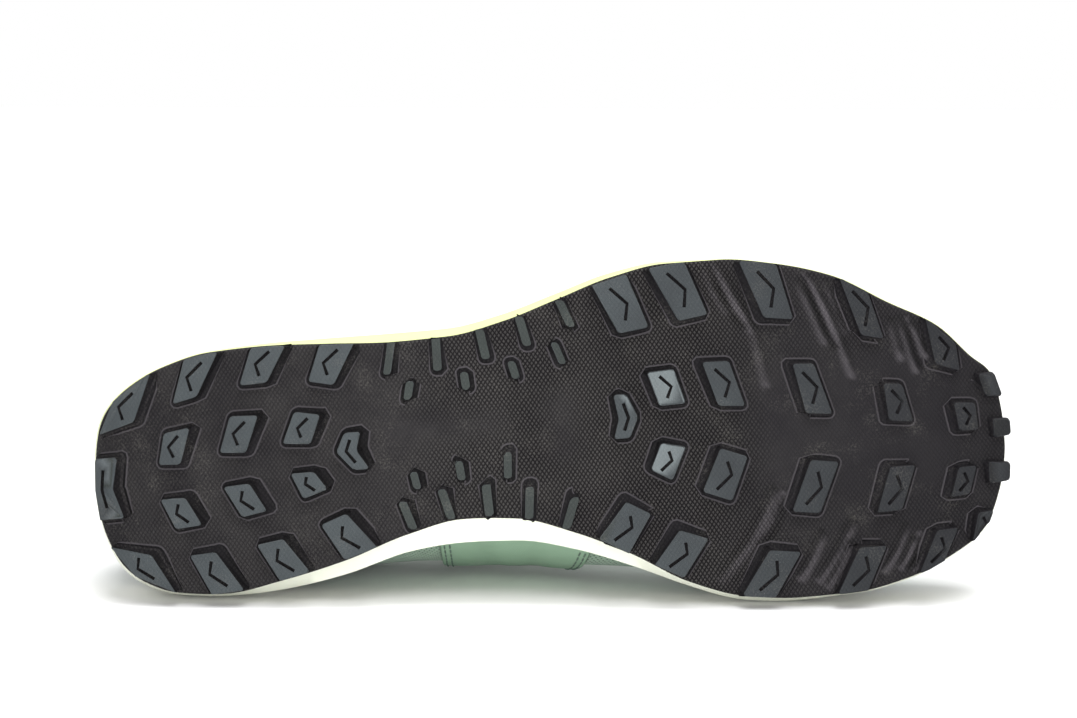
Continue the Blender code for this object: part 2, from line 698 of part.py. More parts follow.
def wall_at(turn, rise):
    pad = COLLAR_PADDING.read("share", turn % 2) * PADDING_RISE.read("share", rise)
    return UPPER_WALL + COLLAR_PAD * pad


def make_upper():
    """Hollow shell: outer face up, over the rounded top line, and down the inner face."""
    turns = [step / STATIONS for step in range(2 * STATIONS)]
    rises = [step / RISES for step in range(RISES + 1)]

    def feet(inner):
        ring = []
        for turn in turns:
            out = outward(foam_edge, turn)
            point = foam_edge(turn) - out * (CUP_RIM + GAP + inner)
            point.z = bed_height(along_at(turn)) + GAP
            ring.append(point)
        return ring

    outer = [feet(0)] + [[skin(turn, rise) for turn in turns] for rise in rises]
    lip = []
    for turn in turns:
        up = (bare_skin(turn, 1) - bare_skin(turn, TOP_ROUND_FROM)).normalized()
        lip.append(skin(turn, 1, -wall_at(turn, 1) / 2) + up * TOP_ROUND)
    inner = [[skin(turn, rise, -wall_at(turn, rise)) for turn in turns] for rise in reversed(rises)]
    bm = bmesh.new()
    bridge(bm, outer + [lip] + inner + [feet(UPPER_WALL)], closed=True)
    return solid("upper", bm, "upper")


def three_point(start, middle, end, share):
    """Curve through three values at 0, a half and 1."""
    outer = start * (1 - share) * (1 - 2 * share) + end * share * (2 * share - 1)
    return outer + middle * 4 * share * (1 - share)


def make_overlay(name):
    """Patch laid on the upper, cut from the upper's own sections."""
    row = dict(zip(OVERLAY_COLUMNS.split(), OVERLAYS[name]))
    start, stop = row["start"], row["stop"]
    first, last = math.floor(start * STATIONS) + 1, math.ceil(stop * STATIONS) - 1
    turns = [start] + [step / STATIONS for step in range(first, last + 1)] + [stop]
    rings = []
    for turn in turns:
        share = (turn - start) / (stop - start)
        low = three_point(row["low_start"], row["low_middle"], row["low_end"], share)
        high = three_point(row["high_start"], row["high_middle"], row["high_end"], share)
        count = max(2, round(RISES * (row["high_middle"] - row["low_middle"])))
        rises = [low + (high - low) * step / count for step in range(count + 1)]
        inner = [skin(turn, rise, OVERLAY_GAP) for rise in rises]
        outer = [skin(turn, rise, OVERLAY_GAP + OVERLAY_WALL) for rise in reversed(rises)]
        rings.append(inner + outer)
    bm = bmesh.new()
    loops = bridge(bm, rings)
    cap_strips(bm, loops[0])
    cap_strips(bm, loops[-1])
    return solid(name, bm, "overlay")


def tongue_ring(turn, thickness):
    """Outline of the tongue where it passes under the throat at this pair of sections."""
    upper_side, under_side = [], []
    rows = [(turn, rise) for rise in TONGUE_WINGS] + [None] * 3
    rows += [(2 - turn, rise) for rise in reversed(TONGUE_WINGS)]
    reach = UPPER_WALL + TONGUE_CLEAR
    medial, lateral = skin(turn, 1, -reach), skin(2 - turn, 1, -reach)
    middle_normal = (skin_normal(turn, 1) + skin_normal(2 - turn, 1)).normalized()
    for index, row in enumerate(rows):
        if row:
            lift = wall_at(*row) + TONGUE_CLEAR
            upper_side.append(skin(*row, -lift))
            under_side.append(skin(*row, -lift - thickness))
        else:
            share = (index - 2) / 4
            raise_by = TONGUE_RAISE * 4 * share * (1 - share)
            point = medial.lerp(lateral, share)
            upper_side.append(point + middle_normal * raise_by)
            under_side.append(point + middle_normal * (raise_by - thickness))
    return upper_side + under_side[::-1]


def make_tongue():
    """Padded tongue: sections under the throat, and a free end above the collar."""
    rings = [tongue_ring(turn, TONGUE_THICKNESS) for turn in TONGUE_TURNS]
    first = rings[0]
    middle = sum(first, Vector((0, 0, 0))) / len(first)
    lean = math.radians(TONGUE_LEAN)
    direction = Vector((-math.sin(lean), 0, math.cos(lean)))
    free = []
    for share, narrowing in zip((0.5, 1.0), TONGUE_NARROWING):
        ring = []
        for point in first:
            moved = point + direction * (TONGUE_REACH * share)
            moved.y += (middle.y - point.y) * narrowing
            ring.append(moved)
        free.insert(0, ring)
    bm = bmesh.new()
    loops = bridge(bm, free + rings)
    cap_strips(bm, loops[0])
    cap_strips(bm, loops[-1])
    return solid("tongue", bm, "tongue")


def make_eyelet(name, turn):
    """Rolled ring set on the eyestay."""
    lift = OVERLAY_GAP + OVERLAY_WALL + GAP + EYELET_WIRE
    centre = skin(turn, EYELET_RISE, lift)
    bpy.ops.mesh.primitive_torus_add(
        major_segments=10, minor_segments=4, major_radius=EYELET_RADIUS, minor_radius=EYELET_WIRE
    )
    ring = bpy.context.object
    turned = skin_normal(turn, EYELET_RISE).to_track_quat("Z", "Y").to_matrix().to_4x4()
    bm = bmesh.new()
    bm.from_mesh(ring.data)
    bmesh.ops.transform(bm, matrix=Matrix.Translation(centre) @ turned, verts=bm.verts)
    bpy.data.objects.remove(ring)
    return solid(name, bm, "eyelet")


def lace_run(start_turn, end_turn, over):
    """One flat lace crossing from the medial eyestay to the lateral one.

    A run that lies over another is raised, and a little narrower and shorter.
    """
    lift = OVERLAY_GAP + OVERLAY_WALL + GAP + over
    width = LACE_WIDTH - over
    end = LACE_END_RISE + LACE_END_STEP * over / LACE_OVER
    route = [skin(start_turn, end, lift), skin(start_turn, 1, lift)]
    far = [skin(end_turn, 1, lift), skin(end_turn, end, lift)]
    normals = [skin_normal(start_turn, end), skin_normal(start_turn, 1)]
    far_normals = [skin_normal(end_turn, 1), skin_normal(end_turn, end)]
    for share in LACE_SHARES:
        normal = normals[1].lerp(far_normals[0], share).normalized()
        arch = LACE_ARCH * 4 * share * (1 - share)
        route.append(route[1].lerp(far[0], share) + normal * arch)
        normals.append(normal)
    route += far
    normals += far_normals
    rings = []
    for index, (point, normal) in enumerate(zip(route, normals)):
        direction = route[min(index + 1, len(route) - 1)] - route[max(index - 1, 0)]
        side = normal.cross(direction).normalized() * (width / 2)
        top = normal * LACE_THICKNESS
        rings.append([point - side, point + side, point + side + top, point - side + top])
    bm = bmesh.new()
    add_block(bm, rings)
    return bm


def lace_runs():
    """Bar over the lowest eyelets, then crossings up to the top ones, the second over the first."""
    turns = EYELET_TURNS[::-1]
    runs = [(turns[0], 2 - turns[0], LACE_OVER / 2)]
    for lower, upper in zip(turns, turns[1:]):
        runs.append((lower, 2 - upper, 0.0))
        runs.append((upper, 2 - lower, LACE_OVER))
    return runs


def lying_pose(pieces):
    """Turn and place that lay the shoe on its medial side, and its middle over the origin."""
    hull = bmesh.new()
    centre = Vector((0, 0, 0))
    total = 0.0
    for piece in pieces:
        bm = bmesh.new()
        bm.from_mesh(piece.data)
        volume = bm.calc_volume()
        middle = sum((vert.co for vert in bm.verts), Vector((0, 0, 0))) / len(bm.verts)
        centre += middle * volume
        total += volume
        for vert in bm.verts:
            hull.verts.new(vert.co)
        bm.free()
    centre /= total
    result = bmesh.ops.convex_hull(hull, input=hull.verts)
    faces = [item for item in result["geom"] if isinstance(item, bmesh.types.BMFace)]
    medial = Vector((0, 1, 0))
    resting = None
    for face in faces:
        if face.normal.dot(medial) < SIDEWAYS:
            continue
        reach = (face.verts[0].co - centre).dot(face.normal)
        foot = centre + face.normal * reach
        sides = []
        for index, vert in enumerate(face.verts):
            after = face.verts[(index + 1) % len(face.verts)]
            sides.append((after.co - vert.co).cross(foot - vert.co).dot(face.normal) >= 0)
        if all(sides):
            resting = face
    down = resting.normal.copy()
    ahead = (Vector((1, 0, 0)) - down * down.x).normalized()
    turn = Matrix((ahead, (-down).cross(ahead), -down)).to_4x4()
    corners = [turn @ vert.co for vert in hull.verts]
    low = Vector([min(corner[axis] for corner in corners) for axis in range(3)])
    high = Vector([max(corner[axis] for corner in corners) for axis in range(3)])
    hull.free()
    middle = Vector(((low.x + high.x) / 2, (low.y + high.y) / 2, low.z))
    return Matrix.Translation(-middle) @ turn


def main():
    for obj in list(bpy.data.objects):
        bpy.data.objects.remove(obj)
    shoe = bpy.data.collections.new("trail_running_shoe")
    bpy.context.scene.collection.children.link(shoe)

    outsole, lugs, outline, knobs, grooves = make_outsole()
    pieces = [outsole, make_midsole(), make_insole(), make_upper(), make_tongue()]
    pieces += [make_overlay(name) for name in OVERLAYS]
    for number, turn in enumerate(EYELET_TURNS, start=1):
        pieces.append(make_eyelet(f"eyelet_medial_{number}", turn))
        pieces.append(make_eyelet(f"eyelet_lateral_{number}", 2 - turn))
    laces, *crossings = [solid("laces", lace_run(*run), "lace") for run in lace_runs()]
    pieces.append(laces)
    for piece in pieces + [lugs, outline, knobs, grooves] + crossings:
        shoe.objects.link(piece)
    apply_boolean(lugs, outline, "INTERSECT")
    apply_boolean(outsole, lugs, "UNION")
    apply_boolean(outsole, knobs, "UNION")
    apply_boolean(outsole, grooves, "DIFFERENCE")
    for crossing in crossings:
        apply_boolean(laces, crossing, "UNION")

    frame = bpy.data.objects.new("lying_shoe", None)
    shoe.objects.link(frame)
    frame.matrix_world = lying_pose(pieces)
    for piece in pieces:
        piece.parent = frame
        for polygon in piece.data.polygons:
            polygon.use_smooth = True
        piece.data.set_sharp_from_angle(angle=math.radians(40))


main()
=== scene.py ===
import functools
import math

import bmesh
import bpy
import numpy as np
from mathutils import Matrix, Vector


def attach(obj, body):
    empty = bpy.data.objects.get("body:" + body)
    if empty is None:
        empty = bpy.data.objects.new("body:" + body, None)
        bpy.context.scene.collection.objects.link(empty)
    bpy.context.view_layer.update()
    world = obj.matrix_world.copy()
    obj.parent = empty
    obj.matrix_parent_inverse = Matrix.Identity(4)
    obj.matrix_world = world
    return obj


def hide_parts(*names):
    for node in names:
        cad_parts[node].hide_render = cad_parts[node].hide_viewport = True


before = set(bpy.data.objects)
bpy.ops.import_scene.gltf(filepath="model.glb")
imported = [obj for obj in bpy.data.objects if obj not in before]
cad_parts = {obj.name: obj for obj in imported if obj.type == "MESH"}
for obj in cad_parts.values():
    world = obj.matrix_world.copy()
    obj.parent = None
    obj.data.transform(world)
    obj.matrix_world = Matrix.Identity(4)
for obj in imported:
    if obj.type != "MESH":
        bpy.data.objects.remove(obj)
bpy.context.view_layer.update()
print("packed shoe loaded")

# The shoe's own frame: ahead to the toe, medial, and up from the plane it treads on
lyingShoe = {
    "ahead": (0.996685, 0.0, 0.0813574),
    "medial": (0.0808687, -0.1094478, -0.9906975),
    "up": (0.0089044, 0.9939926, -0.109085),
    "heelPoint": (-0.1486147, -0.0579462, 0.040586),
}
shoeAxes = Matrix([lyingShoe[name] for name in ("ahead", "medial", "up")]).transposed()
shoeToRow = Matrix.Translation(lyingShoe["heelPoint"]) @ shoeAxes.to_4x4()
rowToShoe = shoeToRow.inverted()

# Sizes that the solids were made from, in metres, and shares of the length and width
size = {
    "length": 0.295, "ballWidth": 0.1097, "heelEnd": 0.005, "toeEnd": 0.995,
    "readFrom": 0.816, "readAlong": 0.496, "readAcross": -0.252,
    "toeSpring": 0.0165, "heelBevel": 0.008, "archLift": 0.0032, "lugHeight": 0.0043,
    "rubber": 0.0026, "heelFoam": 0.0216, "cupDepth": 0.0045, "cupRim": 0.003, "rimRound": 0.0012,
    "instep": 0.0755, "wall": 0.0022, "collarPad": 0.0036, "topRound": 0.0009, "footClear": 0.0006,
    "gap": 0.0003, "film": 0.0012, "filmGap": 0.00038,
}
overFilm = size["filmGap"] + size["film"]


def gentleSlopes(at, values):
    steps = np.diff(at)
    rises = np.diff(values) / steps
    slopes = np.zeros(len(values))
    slopes[0], slopes[-1] = rises[0], rises[-1]
    for row in range(1, len(values) - 1):
        before, after = rises[row - 1], rises[row]
        if before * after > 0:
            near = 2 * steps[row] + steps[row - 1]
            far = steps[row] + 2 * steps[row - 1]
            slopes[row] = (near + far) / (near / before + far / after)
    return slopes


def smoothTable(columns, rows, place=float, period=None):
    # reads a chart of named columns by a smooth curve that never overshoots its rows
    at = np.array([place(row[0]) for row in rows])
    values = np.array(rows, dtype=float)
    if period:
        at = np.concatenate([at - period, at, at + period])
        values = np.vstack([values, values, values])
    names = columns.split()
    chart = {name: (values[:, index], gentleSlopes(at, values[:, index])) for index, name in enumerate(names)}
    places = [float(value) for value in at]

    def read(name, where):
        column, slopes = chart[name]
        row = min(max(int(np.searchsorted(at, where)) - 1, 0), len(places) - 2)
        span = places[row + 1] - places[row]
        share = min(max((where - places[row]) / span, 0.0), 1.0)
        rest = 1 - share
        start = column[row] * (1 + 2 * share) * rest**2 + slopes[row] * span * share * rest**2
        end = column[row + 1] * (1 + 2 * rest) * share**2
        return float(start + end - slopes[row + 1] * span * rest * share**2)

    return read


def halfTurnAt(along):
    share = (along - size["heelEnd"]) / (size["toeEnd"] - size["heelEnd"])
    return math.acos(1 - 2 * min(max(share, 0.0), 1.0)) / math.pi


def halfTurn(turn):
    turn = turn % 2
    return turn if turn <= 1 else 2 - turn


def sideName(turn):
    return "medial" if turn % 2 <= 1 else "lateral"


def alongAt(turn):
    return size["heelEnd"] + (size["toeEnd"] - size["heelEnd"]) * (1 - math.cos(math.pi * halfTurn(turn))) / 2


outline = smoothTable(
    "along lateral medial rimLateral rimMedial",
    [
        (0.005, 0.03, 0.03, 0.0, 0.0),
        (0.015, -0.162, 0.188, 0.0, 0.0),
        (0.029, -0.22, 0.26, 0.0, 0.0),
        (0.05, -0.266, 0.31, 0.0, 0.0),
        (0.087, -0.314, 0.349, 0.0, 0.0),
        (0.14, -0.347, 0.362, 0.002, 0.002),
        (0.2, -0.353, 0.336, 0.006, 0.023),
        (0.27, -0.345, 0.292, 0.015, 0.037),
        (0.34, -0.3355, 0.23, 0.024, 0.048),
        (0.4, -0.3395, 0.1985, 0.022, 0.065),
        (0.46, -0.371, 0.2095, 0.019, 0.061),
        (0.52, -0.422, 0.2625, 0.016, 0.046),
        (0.58, -0.474, 0.338, 0.012, 0.032),
        (0.64, -0.502, 0.432, 0.005, 0.01),
        (0.7, -0.501, 0.487, 0.001, 0.008),
        (0.76, -0.477, 0.504, 0.0, 0.004),
        (0.82, -0.43, 0.501, 0.0, 0.0),
        (0.88, -0.338, 0.47, 0.0, 0.0),
        (0.93, -0.262, 0.412, 0.0, 0.0),
        (0.965, -0.163, 0.345, 0.0, 0.0),
        (0.985, -0.11, 0.235, 0.0, 0.0),
        (0.995, 0.07, 0.07, 0.0, 0.0),
    ],
    place=halfTurnAt,
)

profile = smoothTable(
    "along bevel arch spring relief foam cup",
    [
        (0.0, 1.0, 0.0, 0.0, 0.85, 1.05, 1.8),
        (0.03, 0.45, 0.0, 0.0, 0.95, 1.03, 1.6),
        (0.07, 0.1, 0.0, 0.0, 1.0, 1.01, 1.35),
        (0.1, 0.0, 0.0, 0.0, 1.0, 1.0, 1.2),
        (0.28, 0.0, 0.0, 0.0, 1.0, 0.98, 1.0),
        (0.34, 0.0, 0.4, 0.0, 0.72, 0.97, 1.1),
        (0.42, 0.0, 1.0, 0.0, 0.5, 0.97, 1.25),
        (0.5, 0.0, 0.7, 0.0, 0.62, 0.91, 1.1),
        (0.57, 0.0, 0.0, 0.0, 1.0, 0.84, 1.0),
        (0.65, 0.0, 0.0, 0.0, 1.0, 0.74, 1.0),
        (0.76, 0.0, 0.0, 0.0, 1.0, 0.7, 1.0),
        (0.84, 0.0, 0.0, 0.12, 1.0, 0.66, 1.0),
        (0.9, 0.0, 0.0, 0.33, 0.95, 0.58, 1.1),
        (0.95, 0.0, 0.0, 0.61, 0.88, 0.48, 1.3),
        (1.0, 0.0, 0.0, 1.0, 0.78, 0.36, 1.5),
    ],
)


def faceHeight(along):
    lift = profile("bevel", along) * size["heelBevel"] + profile("arch", along) * size["archLift"]
    return lift + profile("spring", along) * size["toeSpring"]


@functools.lru_cache(maxsize=None)
def baseHeight(along):
    return faceHeight(along) + profile("relief", along) * size["lugHeight"]


def bedHeight(along):
    spring = profile("spring", along) * size["toeSpring"]
    return size["lugHeight"] + size["rubber"] + profile("foam", along) * size["heelFoam"] + spring


def planPoint(along, across, height):
    growth = 1 + height / size["readFrom"]
    x = (size["readAlong"] + (along - size["readAlong"]) * growth) * size["length"]
    y = (size["readAcross"] + (across - size["readAcross"]) * growth) * size["ballWidth"]
    return Vector((x, y, height))


def planOf(point):
    # share of length and of ball width of a point of the sole
    growth = 1 + point.z / size["readFrom"]
    along = size["readAlong"] + (point.x / size["length"] - size["readAlong"]) / growth
    across = size["readAcross"] + (point.y / size["ballWidth"] - size["readAcross"]) / growth
    return along, across


def rubberEdge(turn):
    along = alongAt(turn)
    return planPoint(along, outline(sideName(turn), halfTurn(turn)), baseHeight(along))


# ---- camera, light and floor
photoView = {
    "lens": 85, "sensor": 36, "distance": 0.816, "tilt": 4.47,
    "looksAt": (-0.00507, -0.0549, 0.07988),
}
# brightness of the room on each side, and the lamps
studio = {
    "above": 1.0, "behind": 0.85, "front": 0.55, "backdrop": 1.0, "floor": 0.82, "floorRadius": 14,
    "sun": {"from": (0.12, 0.1, 1.0), "energy": 2.5, "softDegrees": 36},
    "strip": {"place": (0.1, -0.55, 0.75), "aim": (0.03, 0, 0.06), "size": 0.45, "energy": 3.0},
    "fill": {"place": (-0.02, -0.5, 0.03), "aim": (-0.02, 0, 0.02), "size": 0.22, "energy": 2.0},
}


def addObject(name, data):
    thing = bpy.data.objects.new(name, data)
    bpy.context.scene.collection.objects.link(thing)
    return thing


def setCamera():
    tilt = math.radians(photoView["tilt"])
    ahead, medial, up = [Vector(lyingShoe[name]) for name in ("ahead", "medial", "up")]
    right = ahead * math.cos(tilt) + medial * math.sin(tilt)
    top = ahead * math.sin(tilt) - medial * math.cos(tilt)
    turned = Matrix((right, top, -up)).transposed().to_4x4()
    data = bpy.data.cameras.new("photoCamera")
    data.lens, data.sensor_width = photoView["lens"], photoView["sensor"]
    camera = addObject("photoCamera", data)
    camera.matrix_world = Matrix.Translation(Vector(photoView["looksAt"]) - up * photoView["distance"]) @ turned
    bpy.context.scene.camera = camera


def addLight(name, kind, place, turn, **settings):
    data = bpy.data.lights.new(name, kind)
    for key, value in settings.items():
        setattr(data, key, value)
    addObject(name, data).matrix_world = Matrix.Translation(place) @ turn.to_matrix().to_4x4()


def addNode(tree, kind, inputs=None, **settings):
    node = tree.nodes.new(kind)
    for name, value in settings.items():
        setattr(node, name, value)
    for name, value in (inputs or {}).items():
        if isinstance(value, bpy.types.NodeSocket):
            tree.links.new(value, node.inputs[name])
        else:
            node.inputs[name].default_value = value
    return node


def maths(tree, operation, first, second=0.0, third=0.0):
    return addNode(tree, "ShaderNodeMath", {0: first, 1: second, 2: third}, operation=operation).outputs[0]


def times(tree, first, second):
    return maths(tree, "MULTIPLY", first, second)


def timesPlus(tree, first, second, third):
    return maths(tree, "MULTIPLY_ADD", first, second, third)


def mixValue(tree, share, first, second):
    return addNode(tree, "ShaderNodeMix", {0: share, 2: first, 3: second}, data_type="FLOAT").outputs[0]


def mixColour(tree, share, first, second):
    first, second = [(*shade, 1) if isinstance(shade, tuple) else shade for shade in (first, second)]
    return addNode(tree, "ShaderNodeMix", {0: share, 6: first, 7: second}, data_type="RGBA").outputs[2]


def spread(tree, value, low, high, top=1.0, bottom=0.0):
    # low to high becomes bottom to top, and stays there
    inputs = {"Value": value, "From Min": low, "From Max": high, "To Min": bottom, "To Max": top}
    return addNode(tree, "ShaderNodeMapRange", inputs).outputs[0]


def noise(tree, point, scale, detail):
    return addNode(tree, "ShaderNodeTexNoise", {"Vector": point, "Scale": scale, "Detail": detail}).outputs[0]


def apart(tree, point):
    return addNode(tree, "ShaderNodeSeparateXYZ", {0: point}).outputs


def attribute(tree, name):
    return addNode(tree, "ShaderNodeAttribute", attribute_name=name).outputs["Fac"]


def shoePoint(tree):
    # object coordinates turned into the shoe's own frame
    turn = rowToShoe.to_3x3().to_euler("XYZ")
    where = addNode(tree, "ShaderNodeTexCoord").outputs["Object"]
    inputs = {"Vector": where, "Location": rowToShoe.to_translation(), "Rotation": turn}
    return addNode(tree, "ShaderNodeMapping", inputs).outputs[0]


def newMaterial(name, roughness):
    material = bpy.data.materials.new(name)
    material.use_nodes = True
    shader = material.node_tree.nodes["Principled BSDF"]
    shader.inputs["Roughness"].default_value = roughness
    return material, material.node_tree, shader.inputs


def addBump(tree, inputs, height, strength, distance):
    bump = addNode(tree, "ShaderNodeBump", {"Height": height, "Strength": strength, "Distance": distance})
    tree.links.new(bump.outputs[0], inputs["Normal"])


def setWorld():
    # white all round for the camera, and a room that is brighter above and behind than in front
    world = bpy.data.worlds.new("studio")
    bpy.context.scene.world = world
    world.use_nodes = True
    tree = world.node_tree
    room = tree.nodes["Background"]
    split = apart(tree, addNode(tree, "ShaderNodeTexCoord").outputs["Generated"])
    depth = spread(tree, split[1], -1.0, 1.0, studio["behind"], studio["front"])
    light = mixValue(tree, spread(tree, split[2], 0.1, 0.9), depth, studio["above"])
    tree.links.new(light, room.inputs["Strength"])
    room.inputs["Color"].default_value = (1, 1, 1, 1)
    backdrop = addNode(tree, "ShaderNodeBackground", {"Color": (1, 1, 1, 1), "Strength": studio["backdrop"]})
    seen = addNode(tree, "ShaderNodeLightPath").outputs["Is Camera Ray"]
    mix = addNode(tree, "ShaderNodeMixShader", {0: seen, 1: room.outputs[0], 2: backdrop.outputs[0]})
    tree.links.new(mix.outputs[0], tree.nodes["World Output"].inputs["Surface"])


def layFloor():
    mesh = bpy.data.meshes.new("studioFloor")
    bm = bmesh.new()
    bmesh.ops.create_circle(bm, cap_ends=True, segments=64, radius=studio["floorRadius"])
    bm.to_mesh(mesh)
    bm.free()
    material, inputs = newMaterial("floorFinish", 0.7)[::2]
    inputs["Base Color"].default_value = (*[studio["floor"]] * 3, 1)
    mesh.materials.append(material)
    return addObject("studioFloor", mesh)


setCamera()
setWorld()
sun = studio["sun"]
addLight(
    "windowLight", "SUN", (0, 0, 0), Vector(sun["from"]).to_track_quat("Z", "Y"),
    energy=sun["energy"], angle=math.radians(sun["softDegrees"]),
)
for name in ("strip", "fill"):
    lamp = studio[name]
    turn = (Vector(lamp["aim"]) - Vector(lamp["place"])).to_track_quat("-Z", "Y")
    addLight(name + "Light", "AREA", lamp["place"], turn, shape="DISK", size=lamp["size"], energy=lamp["energy"])
bpy.context.scene.view_settings.view_transform = "Standard"
floor = layFloor()
print("studio ready")


# ---- groups of shading nodes
def newGroup(name, inputs, outputs):
    # an input without a number is a place
    group = bpy.data.node_groups.new(name, "ShaderNodeTree")
    for label, value in inputs.items():
        kind = "NodeSocketVector" if value is None else "NodeSocketFloat"
        socket = group.interface.new_socket(label, in_out="INPUT", socket_type=kind)
        if value is not None:
            socket.default_value = value
    for label in outputs:
        group.interface.new_socket(label, in_out="OUTPUT", socket_type="NodeSocketFloat")
    return group, group.nodes.new("NodeGroupInput").outputs, group.nodes.new("NodeGroupOutput").inputs


def useGroup(tree, group, inputs):
    return addNode(tree, "ShaderNodeGroup", inputs, node_tree=group).outputs


def grained(tree, scale, point=None):
    return useGroup(tree, fineGrain, {"Point": point or shoePoint(tree), "Scale": scale})


def makeDiamondSkin():
    # rows of small diamonds pressed into rubber, like snake skin
    group, given, result = newGroup("diamondSkin", {"Point": None, "Cell": 0.0013}, ["Height"])
    wobble = addNode(group, "ShaderNodeTexNoise", {"Vector": given["Point"], "Scale": 260.0, "Detail": 1.0})
    soft = addNode(group, "ShaderNodeVectorMath", {0: wobble.outputs["Color"], "Scale": 0.00045}, operation="SCALE")
    moved = addNode(group, "ShaderNodeVectorMath", {0: given["Point"], 1: soft.outputs[0]}, operation="ADD")
    split = apart(group, moved.outputs[0])
    along = maths(group, "DIVIDE", split[0], given["Cell"])
    across = times(group, maths(group, "DIVIDE", split[1], given["Cell"]), 0.72)
    one = maths(group, "PINGPONG", maths(group, "ADD", along, across), 0.5)
    two = maths(group, "PINGPONG", maths(group, "SUBTRACT", along, across), 0.5)
    cell = maths(group, "MINIMUM", one, two)
    group.links.new(maths(group, "SMOOTH_MIN", cell, 0.22, 0.1), result["Height"])
    return group


def makeFineGrain():
    # fine tooth of a moulded surface, with some larger unevenness
    group, given, result = newGroup("fineGrain", {"Point": None, "Scale": 2400.0}, ["Height", "Speckle"])
    fine = noise(group, given["Point"], given["Scale"], 3.0)
    wide = noise(group, given["Point"], 90.0, 4.0)
    group.links.new(timesPlus(group, wide, 0.6, fine), result["Height"])
    speck = maths(group, "SUBTRACT", times(group, fine, wide), 0.3)
    group.links.new(times(group, speck, 5.0), result["Speckle"])
    return group


def makeKnit():
    # engineered mesh: staggered round holes between knitted bars
    group, given, result = newGroup("meshKnit", {"Across": 0.0, "Up": 0.0, "Cell": 0.0015}, ["Height", "Hole"])
    waves = []
    for name, pace in (("Across", 6.2832), ("Up", 4.6)):
        turns = times(group, maths(group, "DIVIDE", given[name], given["Cell"]), pace)
        waves.append(maths(group, "COSINE", turns))
    wave = timesPlus(group, times(group, *waves), 0.5, 0.5)
    group.links.new(wave, result["Height"])
    group.links.new(spread(group, wave, 0.3, 0.1), result["Hole"])
    return group


diamondSkin = makeDiamondSkin()
fineGrain = makeFineGrain()
meshKnit = makeKnit()


# ---- tread: rubber sheet with its flex creases, and the moulded lugs
treadSheet = {
    "stationsAlong": 290, "stationsAcross": 96, "edgeCrowding": 0.07, "creaseFactor": 1.5,
    "lugRound": 0.00035, "lugCorner": 0.001, "lipWider": 0.9, "lipWiderAt": 0.06, "lipFromEdge": 0.0006,
    "bars": (0.31, 0.56), "toeKnobs": 0.966, "faceNormal": 0.93, "barFace": 0.0007, "lugFace": 0.0024,
    "footDepth": 0.0006, "footHeight": 0.0012, "creaseNear": (0.03, 0.035), "creaseTail": 2.6, "creaseTaper": 4.5,
    # moulded lip around a lug's foot: how far out and how high, in mm, and its shade on the lugRise ramp, where 0.1
    # paints the band next to the lug near-black as shade
    "lip": [(0.55, 0.1, 0.1), (0.72, 0.12, 0.1), (0.95, 0.42, 0.0), (1.25, 0.4, 0.0), (1.7, -0.35, 0.0)],
    # lugs with dust on their faces, by share of length and of ball width
    "dusty": [(0.632, -0.14), (0.632, 0.07)],
}
# charted creases in the forefoot: ridge height in mm (minus for a trough), half width in mm, route
flexCreases = [
    (0.55, 1.5, [(0.683, -0.495), (0.692, -0.41), (0.708, -0.333)]),
    (0.8, 1.6, [(0.694, -0.495), (0.711, -0.39), (0.732, -0.275), (0.74, -0.11)]),
    (-0.6, 1.4, [(0.688, -0.49), (0.703, -0.38), (0.722, -0.29)]),
    (0.6, 1.5, [(0.784, -0.42), (0.799, -0.31), (0.8095, -0.223)]),
    (-0.7, 1.3, [(0.79, -0.43), (0.806, -0.31), (0.819, -0.21)]),
    (0.75, 1.4, [(0.796, -0.43), (0.814, -0.31), (0.826, -0.215), (0.835, -0.12)]),
    (0.45, 1.2, [(0.812, -0.417), (0.822, -0.33), (0.829, -0.246)]),
    (0.5, 1.3, [(0.88, -0.286), (0.885, -0.22), (0.889, -0.159)]),
    (0.55, 1.3, [(0.89, -0.286), (0.898, -0.2), (0.905, -0.12)]),
    (-0.5, 1.1, [(0.897, -0.28), (0.905, -0.2), (0.911, -0.13)]),
    (0.45, 1.2, [(0.904, -0.27), (0.911, -0.21), (0.917, -0.159)]),
    (0.65, 1.6, [(0.74, 0.179), (0.729, 0.249), (0.708, 0.34), (0.672, 0.444)]),
    (-0.55, 1.4, [(0.752, 0.2), (0.741, 0.28), (0.722, 0.35)]),
    (0.6, 1.5, [(0.79, 0.32), (0.777, 0.39), (0.76, 0.46)]),
    (0.65, 1.5, [(0.824, 0.293), (0.805, 0.38), (0.78, 0.47)]),
    (0.5, 1.3, [(0.82, 0.357), (0.806, 0.42), (0.789, 0.49)]),
    (0.5, 1.3, [(0.882, 0.317), (0.869, 0.39), (0.851, 0.456)]),
    (0.45, 1.2, [(0.889, 0.36), (0.881, 0.4), (0.87, 0.45)]),
    (-0.45, 1.1, [(0.896, 0.35), (0.888, 0.4), (0.878, 0.45)]),
    (0.4, 1.2, [(0.902, 0.385), (0.895, 0.42), (0.885, 0.46)]),
]
# how much weaker the skin is pressed in boxes of the sole: by how much, along, softness, across, softness
weakSkin = [
    (0.55, (0.7, 0.98), 0.05, (-0.22, 0.25), 0.08),
    (0.6, (0.31, 0.47), 0.03, (-0.145, 0.0), 0.07),
    (0.6, (0.485, 0.548), 0.03, (-0.19, 0.085), 0.07),
]
skinPress = {"least": 0.35, "full": (0.33, 0.76), "soft": 0.09}


